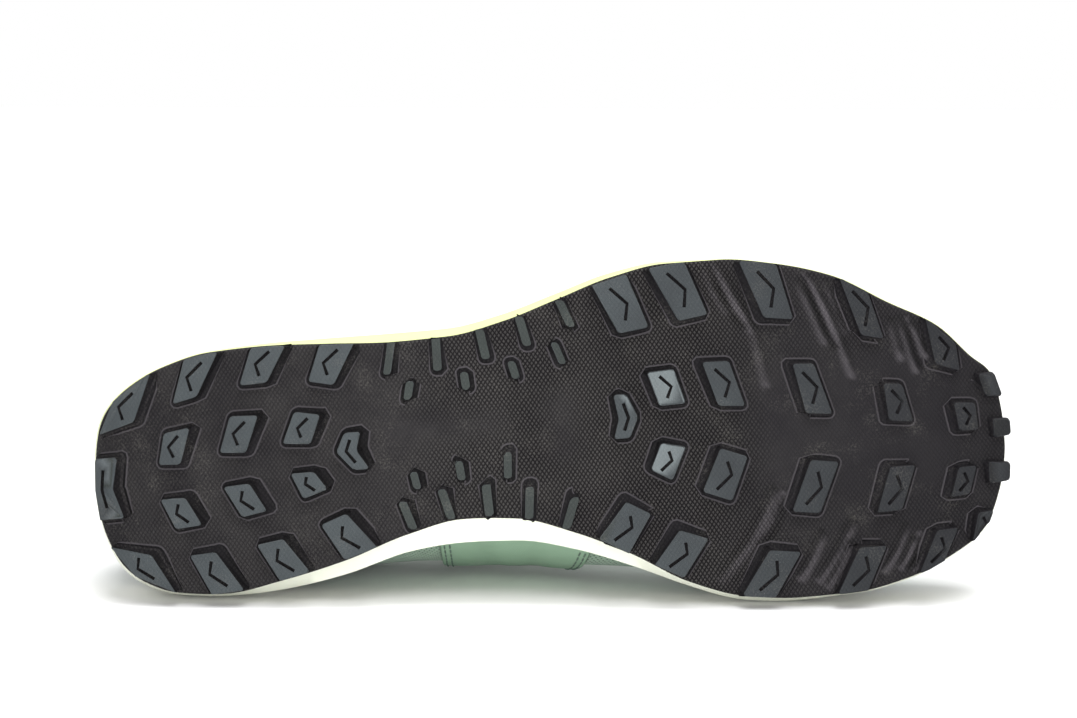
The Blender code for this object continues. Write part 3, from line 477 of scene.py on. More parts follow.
def distanceToRoute(x, y, route):
    # distance to a line of points, and how far along it the nearest place is
    best, share = 1.0, 0.0
    for index in range(len(route) - 1):
        (ax, ay), (bx, by) = route[index], route[index + 1]
        reach = (bx - ax) ** 2 + (by - ay) ** 2
        part = min(max(((x - ax) * (bx - ax) + (y - ay) * (by - ay)) / reach, 0.0), 1.0)
        gap = math.hypot(x - ax - (bx - ax) * part, y - ay - (by - ay) * part)
        if gap < best:
            best, share = gap, (index + part) / (len(route) - 1)
    return best, share


creaseRoutes = []
for height, half, route in flexCreases:
    metres = [(along * size["length"], across * size["ballWidth"]) for along, across in route]
    creaseRoutes.append((height / 1000, half / 1000, metres))


def creaseAt(along, across):
    x, y = along * size["length"], across * size["ballWidth"]
    nearAlong, nearAcross = treadSheet["creaseNear"]
    steep = treadSheet["creaseTaper"]
    total = 0.0
    for height, half, route in creaseRoutes:
        if abs(x - route[0][0]) > nearAlong or abs(y - route[len(route) // 2][1]) > nearAcross:
            continue
        gap, share = distanceToRoute(x, y, route)
        if gap < half * treadSheet["creaseTail"]:
            taper = min(1.0, steep * share, steep * (1 - share)) ** 0.5 if 0 < share < 1 else 0.0
            total += treadSheet["creaseFactor"] * height * math.exp(-((gap / half) ** 2)) * max(taper, 0.0)
    return total


def softBox(value, ends, soft):
    low, high = ends
    return min(max((value - low) / soft, 0.0), 1.0) * min(max((high - value) / soft, 0.0), 1.0)


def skinDepthAt(along, across):
    # how strongly the diamonds show
    least = skinPress["least"]
    strength = least + (1 - least) * softBox(along, skinPress["full"], skinPress["soft"])
    for weaker, alongEnds, alongSoft, acrossEnds, acrossSoft in weakSkin:
        strength *= 1 - weaker * softBox(along, alongEnds, alongSoft) * softBox(across, acrossEnds, acrossSoft)
    return strength


def baseUnder(along):
    return baseHeight(min(max(along, 0.0), 1.0))


def makeTreadSheet(bm, layers):
    parts = treadSheet
    columns, rows = parts["stationsAlong"], parts["stationsAcross"]
    grid = bmesh.ops.create_grid(bm, x_segments=columns, y_segments=rows, size=0.5)["verts"]
    edges = [(rubberEdge(2 - step / columns), rubberEdge(step / columns)) for step in range(columns + 1)]
    for vert in grid:
        share = vert.co.y + 0.5
        share -= parts["edgeCrowding"] * math.sin(2 * math.pi * share)
        lateral, medial = edges[round((vert.co.x + 0.5) * columns)]
        point = lateral.lerp(medial, share)
        along, across = planOf(point)
        fromEnds = (point.x - edges[0][0].x, edges[-1][0].x - point.x)
        inset = min(min(share, 1 - share) * (medial - lateral).length, *[2 * gap + 1e-9 for gap in fromEnds])
        reach = max(0.0, 1 - inset / size["rimRound"])
        point.z += size["rimRound"] * (1 - math.sqrt(1 - reach**2))
        point.z -= creaseAt(along, across)
        vert.co = point
        vert[layers["skinDepth"]] = skinDepthAt(along, across)
        # painted light and shade of the flex creases: positive on a ridge, negative on its far side and in troughs
        vert[layers["creaseLift"]] = creaseAt(along, across) * 1500 - creaseAt(along, across + 0.016) * 1300
    bmesh.ops.remove_doubles(bm, verts=bm.verts, dist=0.00002)
    for item in bmesh.ops.extrude_face_region(bm, geom=list(bm.faces))["geom"]:
        if isinstance(item, bmesh.types.BMVert):
            item.co.z = baseUnder(planOf(item.co)[0]) + size["rubber"]
    for face in bm.faces:
        face.smooth = True


def lugDepths(bm):
    return {vert: baseUnder(planOf(vert.co)[0]) - vert.co.z for vert in bm.verts}


def sharpEdges(bm, degrees):
    return [edge for edge in bm.edges if len(edge.link_faces) == 2 and edge.calc_face_angle() > math.radians(degrees)]


def uprightEdges(bm):
    # corners between the walls of the lugs
    depth = lugDepths(bm)
    picked = []
    for edge in sharpEdges(bm, 35):
        line = edge.verts[1].co - edge.verts[0].co
        low = min(depth[vert] for vert in edge.verts)
        if abs(line.normalized().z) > 0.7 and line.length > 0.001 and low < treadSheet["footHeight"]:
            picked.append(edge)
    return picked


def rimEdges(bm):
    # edges of the lugs' faces
    depth = lugDepths(bm)
    picked = []
    for edge in sharpEdges(bm, 30):
        if edge.is_convex:
            wall = min(edge.link_faces, key=lambda face: abs(face.normal.z))
            isHigh = min(depth[vert] for vert in edge.verts) > treadSheet["footDepth"]
            low = min(depth[vert] for vert in wall.verts)
            if isHigh and abs(wall.normal.z) < 0.9 and low < treadSheet["footHeight"]:
                picked.append(edge)
    return picked


def edgeGroups(edges):
    # edges that hang together, as one list for each lug
    left, groups = set(edges), []
    for edge in edges:
        if edge not in left:
            continue
        left.discard(edge)
        group, reach = [], [edge]
        while reach:
            here = reach.pop()
            group.append(here)
            for vert in here.verts:
                for after in vert.link_edges:
                    if after in left:
                        left.discard(after)
                        reach.append(after)
        groups.append(group)
    return groups


def shadeLugs(bm, layers):
    # faces of the lugs are flat and light; their walls and grooves are painted near-black as shade, lightening up to
    # the rims
    parts = treadSheet
    depth = lugDepths(bm)
    firstBar, lastBar = parts["bars"]
    faceVerts = set()
    for face in bm.faces:
        isBar = firstBar < planOf(face.calc_center_median())[0] < lastBar
        needed = parts["barFace"] if isBar else parts["lugFace"]
        isTop = abs(face.normal.z) > parts["faceNormal"] and min(depth[vert] for vert in face.verts) > needed
        face.smooth = not isTop
        if isTop:
            faceVerts.update(face.verts)
    for vert in bm.verts:
        along = min(max(planOf(vert.co)[0], 0.0), 1.0)
        full = max(depth[vert], 0.0) / (baseHeight(along) - faceHeight(along))
        isBar = firstBar < along < lastBar
        if vert in faceVerts and (full >= 0.78 or isBar):
            isDusty = min(math.dist(planOf(vert.co), place) for place in parts["dusty"]) < 0.05
            vert[layers["lugRise"]] = 0.93 if isBar or along > parts["toeKnobs"] else (1.0 if isDusty else 0.965)
        else:
            # the deeper a point sits, the more of the near-black painted shade it gets
            vert[layers["lugRise"]] = min(0.06 + 0.74 * full, 0.8)
        vert[layers["skinDepth"]] = 0.15


def addLips(bm, layers):
    # thin moulded lips around the feet of the lugs, wider towards the middle of the sole; the band next to the lug is
    # painted near-black as shade, and the lip's raised crest gets a painted highlight
    parts = treadSheet
    outwards = {}
    border = [edge for edge in bm.edges if edge.is_boundary]
    for edge in border:
        middle = edge.link_faces[0].calc_center_median()
        line = edge.verts[1].co - edge.verts[0].co
        side = Vector((line.y, -line.x, 0)).normalized()
        if side.dot(edge.verts[0].co - middle) < 0:
            side = -side
        for vert in edge.verts:
            outwards[vert] = outwards.get(vert, Vector((0, 0, 0))) + side * (line.length + 0.0001)
    rimPoints = np.array([rubberEdge(step / 160)[:2] for step in range(320)])
    centre = planPoint(size["readAlong"], size["readAcross"], 0.0)
    feet = {}
    for vert, out in outwards.items():
        out = out.normalized()
        room = float(np.hypot(*(rimPoints - np.array(vert.co[:2])).T).min()) - parts["lipFromEdge"]
        inward = Vector((centre.x - vert.co.x, centre.y - vert.co.y, 0))
        facing = max(0.0, out.dot(inward.normalized())) * min(1.0, inward.length / parts["lipWiderAt"])
        room = 0.0 if planOf(vert.co)[0] > parts["toeKnobs"] else max(room, 0.0)
        feet[vert] = (vert.co.copy(), out, parts["lipWider"] * facing, room)
    for out, rise, shade in parts["lip"]:
        made = bmesh.ops.extrude_edge_only(bm, edges=border)["geom"]
        known = set(feet)
        for vert in [item for item in made if isinstance(item, bmesh.types.BMVert)]:
            source = next(edge.other_vert(vert) for edge in vert.link_edges if edge.other_vert(vert) in known)
            foot, away, wider, room = feet[vert] = feet[source]
            reach = min((out + wider) / 1000, room)
            vert.co = foot + away * reach
            along, across = planOf(vert.co)
            vert.co.z = baseUnder(along) - max(creaseAt(along, across), 0.0)
            vert.co.z -= rise / 1000 * min(reach / 0.0008, 1.0)
            # rings next to the lug, and rings with little room, take the near-black painted shade
            vert[layers["lugRise"]] = shade if reach > 0.0003 else 0.1
            # the raised crest is marked for the painted ridge highlight
            vert[layers["creaseLift"]] = 0.55 if rise > 0.3 and reach > 0.0008 else 0.0
        border = [item for item in made if isinstance(item, bmesh.types.BMEdge) and item.is_boundary]
        for edge in border:
            for face in edge.link_faces:
                face.smooth = True


def makeLugs(bm, layers):
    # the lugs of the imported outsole, with rounded corners and rims
    parts = treadSheet
    bm.from_mesh(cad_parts["outsole"].data)
    bmesh.ops.transform(bm, matrix=rowToShoe, verts=bm.verts)
    bmesh.ops.remove_doubles(bm, verts=bm.verts, dist=0.00001)
    bm.normal_update()
    bmesh.ops.dissolve_limit(bm, angle_limit=math.radians(2), verts=bm.verts, edges=bm.edges)
    depth = lugDepths(bm)
    away = [face for face in bm.faces if max(depth[vert] for vert in face.verts) < parts["footDepth"]]
    bmesh.ops.delete(bm, geom=away, context="FACES")
    bmesh.ops.bevel(
        bm, geom=uprightEdges(bm), offset=parts["lugCorner"], offset_type="OFFSET", affect="EDGES",
        segments=3, profile=0.5, clamp_overlap=False, material=-1,
    )
    bmesh.ops.remove_doubles(bm, verts=bm.verts, dist=0.00002)
    bm.normal_update()
    for group in edgeGroups(rimEdges(bm)):
        bmesh.ops.bevel(
            bm, geom=group, offset=parts["lugRound"], offset_type="OFFSET", affect="EDGES",
            segments=2, profile=0.5, clamp_overlap=True, material=-1,
        )
    bm.normal_update()
    shadeLugs(bm, layers)
    addLips(bm, layers)


def finishMesh(bm, name, material, smoothAngle=40, keepFlat=False):
    mesh = bpy.data.meshes.new(name)
    bmesh.ops.recalc_face_normals(bm, faces=bm.faces)
    bmesh.ops.transform(bm, matrix=shoeToRow, verts=bm.verts)
    bm.to_mesh(mesh)
    bm.free()
    smooth = np.ones(len(mesh.polygons), dtype=bool)
    if keepFlat:
        mesh.polygons.foreach_get("use_smooth", smooth)
    mesh.set_sharp_from_angle(angle=math.radians(smoothAngle))
    mesh.polygons.foreach_set("use_smooth", smooth)
    mesh.materials.append(material)
    piece = addObject(name, mesh)
    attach(piece, "root")
    return piece


# the wall colour is a near-black painted shade for the lugs' walls and grooves, the band round their feet, the crease
# troughs and the skin's hollows; the ridge colour is a painted highlight on crease ridges and lip crests; the skin's
# crown colour is dust and painted highlight
treadFinish = {
    "base": (0.023, 0.0215, 0.0225), "stain": (0.0095, 0.0085, 0.0105), "wall": (0.0035, 0.0032, 0.0038),
    "face": (0.049, 0.057, 0.061), "rim": (0.092, 0.105, 0.111), "dust": (0.2, 0.19, 0.17),
    "cellDustAndHighlight": (0.085, 0.08, 0.074), "dusty": (0.15, 0.172, 0.178), "bar": (0.034, 0.04, 0.038),
    "ridgeHighlight": (0.072, 0.066, 0.073), "specular": 0.1, "roughness": 0.68, "cell": 0.0014,
}
# colours along the lugRise attribute: sheet, walls (near-black painted shade), rims, bars, faces, dusty faces
treadRamp = [
    (0.0, "base"), (0.05, "wall"), (0.7, "wall"), (0.86, "rim"), (0.93, "bar"), (0.962, "face"), (0.97, "face"),
    (1.0, "dusty"),
]


def rampColour(tree, value, stops):
    node = addNode(tree, "ShaderNodeValToRGB", {0: value})
    while len(node.color_ramp.elements) < len(stops):
        node.color_ramp.elements.new(0.5)
    for element, (place, name) in zip(node.color_ramp.elements, stops):
        element.position, element.color = place, (*treadFinish[name], 1)
    return node.outputs[0]


def makeTreadMaterial():
    parts = treadFinish
    material, tree, inputs = newMaterial("treadRubber", parts["roughness"])
    inputs["Specular IOR Level"].default_value = parts["specular"]
    point = shoePoint(tree)
    rise, skin, creaseLightShade = [attribute(tree, name) for name in ("lugRise", "skinDepth", "creaseLift")]
    grain = grained(tree, 1800.0, point)
    colour = rampColour(tree, rise, treadRamp)
    # the tread darkens from the ball to the toe
    colour = mixColour(tree, spread(tree, apart(tree, point)[0], 0.16, 0.26, 0.78), colour, parts["stain"])
    stained = spread(tree, noise(tree, point, 60.0, 4.0), 0.4, 0.68, 0.8)
    onSheet = timesPlus(tree, maths(tree, "LESS_THAN", rise, 0.5), 0.75, 0.25)
    colour = mixColour(tree, times(tree, stained, onSheet), colour, parts["stain"])
    # painted highlight on the crease ridges and lip crests, and painted shade in the crease troughs
    colour = mixColour(tree, spread(tree, creaseLightShade, 0.05, 1.0), colour, parts["ridgeHighlight"])
    colour = mixColour(tree, spread(tree, creaseLightShade, -0.05, -0.8), colour, parts["wall"])
    cells = useGroup(tree, diamondSkin, {"Point": point, "Cell": parts["cell"]})["Height"]
    # cell crowns are lighter, partly dust and partly painted highlight
    crown = times(tree, maths(tree, "SUBTRACT", cells, 0.09), times(tree, skin, 2.2))
    colour = mixColour(tree, maths(tree, "MAXIMUM", crown, 0.0), colour, parts["cellDustAndHighlight"])
    # cell hollows take the near-black painted shade
    cellHollowShade = times(tree, maths(tree, "SUBTRACT", 0.07, cells), times(tree, skin, 12.0))
    colour = mixColour(tree, addNode(tree, "ShaderNodeClamp", {0: cellHollowShade}).outputs[0], colour, parts["wall"])
    colour = mixColour(tree, times(tree, grain["Speckle"], 0.18), colour, parts["dust"])
    tree.links.new(colour, inputs["Base Color"])
    height = timesPlus(tree, grain["Height"], 0.14, times(tree, times(tree, cells, skin), 4.0))
    addBump(tree, inputs, height, 1.0, 0.0007)
    return material


def treadPart(make):
    bm = bmesh.new()
    layers = {name: bm.verts.layers.float.new(name) for name in ("lugRise", "skinDepth", "creaseLift")}
    make(bm, layers)
    bmesh.ops.recalc_face_normals(bm, faces=bm.faces)
    return bm


def makeOutsole():
    sheetMesh = bpy.data.meshes.new("sheetPart")
    bm = treadPart(makeTreadSheet)
    bm.to_mesh(sheetMesh)
    bm.free()
    bm = treadPart(makeLugs)
    bm.from_mesh(sheetMesh)
    bpy.data.meshes.remove(sheetMesh)
    outsole = finishMesh(bm, "treadOutsole", makeTreadMaterial(), 50, keepFlat=True)
    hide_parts("outsole")
    return outsole


outsole = makeOutsole()
print("tread made:", len(outsole.data.polygons), "faces")

# ---- upper: the sections that the solids were cut from, drawn in a little at the lateral waist
upperSections = smoothTable(
    "turn sideOut sideUp shoulderAlong shoulderAcross shoulderRise topAlong topAcross topRise",
    [
        (0.0, 0.054, 0.29, 0.0134, 0.027, 0.615, 0.0336, 0.027, 0.951),
        (0.1, 0.0, 0.28, 0.034, 0.2, 0.592, 0.0537, 0.153, 0.914),
        (0.2, -0.036, 0.24, 0.114, 0.286, 0.524, 0.1275, 0.28, 0.789),
        (0.3, -0.004, 0.2, 0.228, 0.335, 0.475, 0.235, 0.345, 0.687),
        (0.4, 0.125, 0.185, 0.346, 0.38, 0.583, 0.356, 0.278, 0.861),
        (0.44, 0.162, 0.175, 0.389, 0.412, 0.637, 0.403, 0.221, 1.0),
        (0.5, 0.18, 0.16, 0.4765, 0.41, 0.648, 0.463, 0.1895, 0.951),
        (0.6, 0.044, 0.21, 0.59, 0.379, 0.656, 0.557, 0.153, 0.857),
        (0.7, 0.008, 0.185, 0.705, 0.338, 0.604, 0.624, 0.117, 0.787),
        (0.8, 0.006, 0.16, 0.815, 0.271, 0.494, 0.661, 0.077, 0.744),
        (0.9, 0.018, 0.145, 0.879, 0.171, 0.395, 0.6745, 0.045, 0.726),
        (1.0, 0.018, 0.13, 0.899, 0.063, 0.359, 0.678, 0.0135, 0.719),
        (1.1, 0.018, 0.145, 0.879, -0.081, 0.385, 0.6745, -0.0225, 0.722),
        (1.2, 0.018, 0.155, 0.815, -0.235, 0.455, 0.661, -0.0585, 0.739),
        (1.3, 0.027, 0.175, 0.705, -0.361, 0.525, 0.624, -0.099, 0.775),
        (1.4, 0.028, 0.19, 0.59, -0.4, 0.577, 0.557, -0.135, 0.845),
        (1.5, 0.022, 0.185, 0.4765, -0.368, 0.62, 0.463, -0.1715, 0.938),
        (1.56, 0.026, 0.18, 0.389, -0.356, 0.625, 0.403, -0.203, 0.987),
        (1.6, 0.032, 0.185, 0.346, -0.35, 0.556, 0.356, -0.244, 0.835),
        (1.7, 0.016, 0.2, 0.228, -0.325, 0.435, 0.235, -0.284, 0.647),
        (1.8, -0.018, 0.24, 0.114, -0.272, 0.5, 0.1275, -0.2255, 0.762),
        (1.9, 0.01, 0.28, 0.032, -0.163, 0.585, 0.0537, -0.099, 0.906),
    ],
    period=2.0,
)
collarPadding = smoothTable(
    "turn share",
    [(0.0, 0.8), (0.2, 1.0), (0.33, 1.0), (0.43, 0.0), (1.57, 0.0), (1.67, 1.0), (1.8, 1.0)],
    period=2.0,
)
paddingRise = smoothTable("rise share", [(0.0, 0.0), (0.45, 0.0), (0.75, 1.0), (0.92, 0.9), (1.0, 0.35)])
overlayRows = {
    "toe_cap": (0.7, 1.34, 0.015, 0.015, 0.015, 0.07, 0.3, 0.07),
    "heel_counter": (-0.27, 0.27, 0.015, 0.015, 0.015, 0.2, 0.56, 0.2),
    "eyestay": (0.455, 1.545, 0.8, 0.88, 0.8, 0.987, 0.987, 0.987),
    "saddle_medial": (0.415, 0.525, 0.06, 0.06, 0.06, 0.74, 0.76, 0.76),
    "saddle_lateral": (1.475, 1.585, 0.04, 0.04, 0.04, 0.76, 0.76, 0.74),
}
eyeletTurns = (0.475, 0.535, 0.593, 0.653, 0.722)
# soft folds of the upper: turn, rise, half width in turns, depth in mm, and lean in turns over the rise
softFolds = [
    (0.447, 0.16, 0.01, -1.5, 0.04), (0.463, 0.18, 0.009, 1.1, 0.04), (0.486, 0.16, 0.009, -1.3, 0.03),
    (0.605, 0.42, 0.016, -1.0, -0.05), (0.64, 0.42, 0.016, 0.7, -0.05), (0.668, 0.4, 0.014, -0.8, -0.04),
    (1.345, 0.42, 0.016, -1.0, 0.05), (1.375, 0.42, 0.016, 0.8, 0.05), (1.405, 0.42, 0.014, -0.8, 0.04),
    (1.53, 0.33, 0.012, -0.5, 0.02), (0.3, 0.62, 0.014, -0.6, 0.03), (1.7, 0.62, 0.014, -0.6, -0.03),
]
foldShape = {"span": 0.32, "tail": 3, "fading": 0.7, "factor": 0.55}


def cupHeight(along):
    return bedHeight(along) + profile("cup", along) * size["cupDepth"]


def foamEdge(turn):
    along = alongAt(turn)
    side = sideName(turn)
    across = outline(side, halfTurn(turn))
    rim = outline("rim" + side.capitalize(), halfTurn(turn))
    across += rim if side == "medial" else -rim
    return planPoint(along, across, (baseHeight(along) + bedHeight(along)) / 2)


def outward(edge, turn):
    before, after = edge(turn - 0.004), edge(turn + 0.004)
    return Vector((before.y - after.y, after.x - before.x, 0)).normalized()


@functools.lru_cache(maxsize=None)
def section(turn):
    # foot, side, shoulder and top point of one section
    out = outward(foamEdge, turn)
    foot = foamEdge(turn) - out * (size["cupRim"] + size["gap"])
    foot.z = cupHeight(alongAt(turn)) + size["footClear"]
    side = foot + out * upperSections("sideOut", turn % 2) * size["ballWidth"]
    side.z += upperSections("sideUp", turn % 2) * size["instep"]
    points = [foot, side]
    for name in ("shoulder", "top"):
        along = upperSections(name + "Along", turn % 2)
        across = upperSections(name + "Across", turn % 2)
        rise = bedHeight(along) + upperSections(name + "Rise", turn % 2) * size["instep"]
        points.append(Vector((along * size["length"], across * size["ballWidth"], rise)))
    return points


def bareSkin(turn, rise):
    foot, side, shoulder, top = section(round(turn % 2, 6))
    rest = 1 - rise
    return foot * rest**3 + side * (3 * rest**2 * rise) + shoulder * (3 * rest * rise**2) + top * rise**3


@functools.lru_cache(maxsize=None)
def skinNormal(turn, rise):
    around = bareSkin(turn + 0.01, rise) - bareSkin(turn - 0.01, rise)
    low, high = max(rise - 0.01, 0.0), min(rise + 0.01, 1.0)
    return (bareSkin(turn, high) - bareSkin(turn, low)).cross(around).normalized()


def foldAt(turn, rise):
    total = 0.0
    for place, high, half, depth, lean in softFolds:
        gap = (turn % 2) - place - lean * (rise - high)
        far = abs(rise - high) / foldShape["span"]
        if abs(gap) < half * foldShape["tail"] and far < 1:
            total += depth / 1000 * math.exp(-((gap / half) ** 2)) * (1 - far) ** foldShape["fading"]
    return total * foldShape["factor"]


def skin(turn, rise, lift=0.0):
    return bareSkin(turn, rise) + skinNormal(turn, rise) * (lift + foldAt(turn, rise))


def wallAt(turn, rise):
    return size["wall"] + size["collarPad"] * collarPadding("share", turn % 2) * paddingRise("share", rise)


def footPoint(turn, inner):
    point = foamEdge(turn) - outward(foamEdge, turn) * (size["cupRim"] + size["gap"] + inner)
    point.z = bedHeight(alongAt(turn)) + size["gap"]
    return point


def ringSheet(bm, rings, closedRound, closedUp):
    # sheet of quads through rings of points, with a weave map in metres around and up
    weave = bm.loops.layers.uv.get("weave") or bm.loops.layers.uv.new("weave")
    loops = [[bm.verts.new(point) for point in ring] for ring in rings]
    places = np.array([[tuple(point) for point in ring] for ring in rings])
    count = len(rings[0])
    steps = np.linalg.norm(np.roll(places, -1, axis=1) - places, axis=2).mean(axis=0)
    around = np.concatenate([[0.0], np.cumsum(steps)])
    heights = np.linalg.norm(np.diff(places, axis=0), axis=2).mean(axis=1)
    up = np.concatenate([[0.0], np.cumsum(heights), [heights.sum()]])
    for low in range(len(rings) if closedUp else len(rings) - 1):
        high = (low + 1) % len(rings)
        for index in range(count if closedRound else count - 1):
            after = (index + 1) % count
            face = bm.faces.new((loops[low][index], loops[low][after], loops[high][after], loops[high][index]))
            spots = [(around[index + right], up[low + above]) for right, above in ((0, 0), (1, 0), (1, 1), (0, 1))]
            for corner, spot in zip(face.loops, spots):
                corner[weave].uv = spot
    return loops


def skinSheet(bm, turns, rows, closedRound, closedUp):
    # each row gives a point for a turn
    return ringSheet(bm, [[row(turn) for turn in turns] for row in rows], closedRound, closedUp)


def stripFaces(bm, loops, closedRound=True):
    for lower, upper in zip(loops, loops[1:]):
        for index in range(len(lower) if closedRound else len(lower) - 1):
            after = (index + 1) % len(lower)
            bm.faces.new((lower[index], lower[after], upper[after], upper[index]))


def closedTube(bm, loops):
    stripFaces(bm, loops)
    bm.faces.new(loops[0])
    bm.faces.new(loops[-1])


# yarn, hole, cell in metres and bump depth of each knitted cloth
fabrics = {
    "upperMesh": ((0.27, 0.4, 0.295), (0.055, 0.095, 0.068), 0.0016, 0.0004),
    "collarLining": ((0.1, 0.13, 0.115), (0.04, 0.05, 0.045), 0.0013, 0.0003),
    "insoleCloth": ((0.1, 0.115, 0.11), (0.03, 0.035, 0.03), 0.0021, 0.0004),
    "tongueMesh": ((0.21, 0.32, 0.235), (0.05, 0.085, 0.06), 0.0014, 0.0004),
}
fabricFinish = {"fade": (0.42, 0.54, 0.42), "shadow": (0.055, 0.095, 0.068), "roughness": 0.88, "sheen": 0.15}


def makeFabric(name):
    # mesh seen from the side on the walls and from above on the flat places
    yarn, hole, cell, bumpDepth = fabrics[name]
    material, tree, inputs = newMaterial(name, fabricFinish["roughness"])
    point = shoePoint(tree)
    split = apart(tree, point)
    flat = attribute(tree, "topness")
    laid = apart(tree, addNode(tree, "ShaderNodeUVMap", uv_map="weave").outputs[0])
    sideways = useGroup(tree, meshKnit, {"Across": laid[0], "Up": laid[1], "Cell": cell})
    over = useGroup(tree, meshKnit, {"Across": split[0], "Up": split[1], "Cell": cell})
    height, holes = [mixValue(tree, flat, sideways[part], over[part]) for part in ("Height", "Hole")]
    grain = grained(tree, 3200.0, point)
    colour = mixColour(tree, times(tree, noise(tree, point, 26.0, 3.0), 0.45), yarn, fabricFinish["fade"])
    colour = mixColour(tree, times(tree, grain["Height"], 0.16), colour, fabricFinish["shadow"])
    tree.links.new(mixColour(tree, holes, colour, hole), inputs["Base Color"])
    tree.links.new(timesPlus(tree, grain["Height"], 0.12, 0.78), inputs["Roughness"])
    inputs["Sheen Weight"].default_value = fabricFinish["sheen"]
    addBump(tree, inputs, timesPlus(tree, grain["Height"], 0.25, height), 0.8, bumpDepth)
    return material


def markTopness(bm):
    layer = bm.verts.layers.float.new("topness")
    bm.normal_update()
    for vert in bm.verts:
        vert[layer] = min(max((abs(vert.normal.z) - 0.55) / 0.2, 0.0), 1.0)


def makeUpper():
    bm = bmesh.new()
    turns = [step / 130 for step in range(260)]
    rises = [step / 34 + 0.03 * math.sin(2 * math.pi * step / 34) for step in range(35)]

    def lip(angle):
        # round at the top between the outer and the inner side
        def place(turn):
            up = (bareSkin(turn, 1) - bareSkin(turn, 0.97)).normalized()
            inward = size["wall"] / 2 * (1 - math.cos(angle))
            return skin(turn, 1, -inward) + up * size["topRound"] * math.sin(angle)
        return place

    rows = [lambda turn: footPoint(turn, 0)]
    rows += [lambda turn, rise=rise: skin(turn, rise) for rise in rises]
    rows += [lip(math.pi * bend) for bend in (0.25, 0.5, 0.75)]
    rows += [lambda turn, rise=rise: skin(turn, rise, -size["wall"]) for rise in reversed(rises)]
    rows.append(lambda turn: footPoint(turn, size["wall"]))
    skinSheet(bm, turns, rows, True, True)
    markTopness(bm)
    upper = finishMesh(bm, "meshUpper", makeFabric("upperMesh"), 60)
    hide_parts("upper")
    return upper


upper = makeUpper()
print("upper made:", len(upper.data.polygons), "faces")


# ---- padded collar: a foam roll inside the top of the upper, under its own lining
padSizes = {
    "turns": (-0.425, 0.425), "columns": 110, "rises": (0.47, 0.992), "rows": 20, "fullness": 0.92,
    "least": 0.0003, "crown": 0.0012, "ends": 0.05, "pressure": 3.0, "mostMove": 0.0006,
}
clothSettings = {
    "quality": 4, "mass": 0.15, "use_pressure": True, "tension_stiffness": 40, "compression_stiffness": 40,
    "bending_stiffness": 0.4,
}


def coordinates(vertices):
    places = np.empty(len(vertices) * 3)
    vertices.foreach_get("co", places)
    return places.reshape(-1, 3)


def swollen(piece, pressure, mostMove, frames=20):
    # blows a padded piece up a little with cloth, and holds each point near its start
    start = coordinates(piece.data.vertices)
    cloth = piece.modifiers.new("padding", "CLOTH")
    for name, value in clothSettings.items():
        setattr(cloth.settings, name, value)
    cloth.settings.uniform_pressure_force = pressure
    cloth.settings.effector_weights.gravity = 0
    cloth.collision_settings.use_collision = False
    cloth.point_cache.frame_start, cloth.point_cache.frame_end = 1, frames
    for step in range(1, frames + 1):
        bpy.context.scene.frame_set(step)
    puffed = piece.evaluated_get(bpy.context.evaluated_depsgraph_get())
    step = coordinates(puffed.to_mesh().vertices) - start
    puffed.to_mesh_clear()
    piece.modifiers.remove(cloth)
    bpy.context.scene.frame_set(1)
    far = np.linalg.norm(step, axis=1, keepdims=True)
    held = start + step * np.minimum(1.0, mostMove / np.maximum(far, 1e-9))
    piece.data.vertices.foreach_set("co", held.ravel())
    piece.data.update()


def makeCollarPad():
    parts = padSizes
    (first, last), (low, high) = parts["turns"], parts["rises"]
    inside = size["wall"] + size["gap"]
    turns = [first + (last - first) * step / parts["columns"] for step in range(parts["columns"] + 1)]
    rises = [low + (high - low) * step / parts["rows"] for step in range(parts["rows"] + 1)]

    def outer(rise):
        return lambda turn: skin(turn, rise, -inside)

    def inner(rise):
        def place(turn):
            crown = math.sin(math.pi * min(max((rise - low) / (high - low), 0.0), 1.0)) ** 0.6
            ends = min(1.0, (turn - first) / parts["ends"], (last - turn) / parts["ends"])
            thick = max(wallAt(turn, rise) - inside, parts["crown"] * crown) * max(ends, 0.0) ** 0.5
            return skin(turn, rise, -inside - max(thick * parts["fullness"], parts["least"]))
        return place

    bm = bmesh.new()
    rows = [outer(rise) for rise in rises] + [inner(rise) for rise in reversed(rises)]
    loops = skinSheet(bm, turns, rows, False, True)
    for column in (0, -1):
        bm.faces.new([loop[column] for loop in loops])
    bmesh.ops.triangulate(bm, faces=[face for face in bm.faces if len(face.verts) > 4])
    bm.verts.layers.float.new("topness")
    pad = finishMesh(bm, "collarPad", makeFabric("collarLining"), 70)
    swollen(pad, parts["pressure"], parts["mostMove"])


makeCollarPad()
print("collar padded")


# ---- overlays: welded film patches with rounded rims and stitches along them
def threePoint(start, middle, end, share):
    outer = start * (1 - share) * (1 - 2 * share) + end * share * (2 * share - 1)
    return outer + middle * 4 * share * (1 - share)


overlayFinish = {
    "toe_cap": (0.06, 0.085, 0.072), "heel_counter": (0.105, 0.165, 0.13), "eyestay": (0.115, 0.185, 0.145),
    "saddle_medial": (0.23, 0.345, 0.245), "saddle_lateral": (0.19, 0.285, 0.205),
    "edge": (0.08, 0.12, 0.1), "scuff": (0.42, 0.44, 0.4), "thread": (0.045, 0.075, 0.058),
    "threadCrown": (0.11, 0.16, 0.13),
}


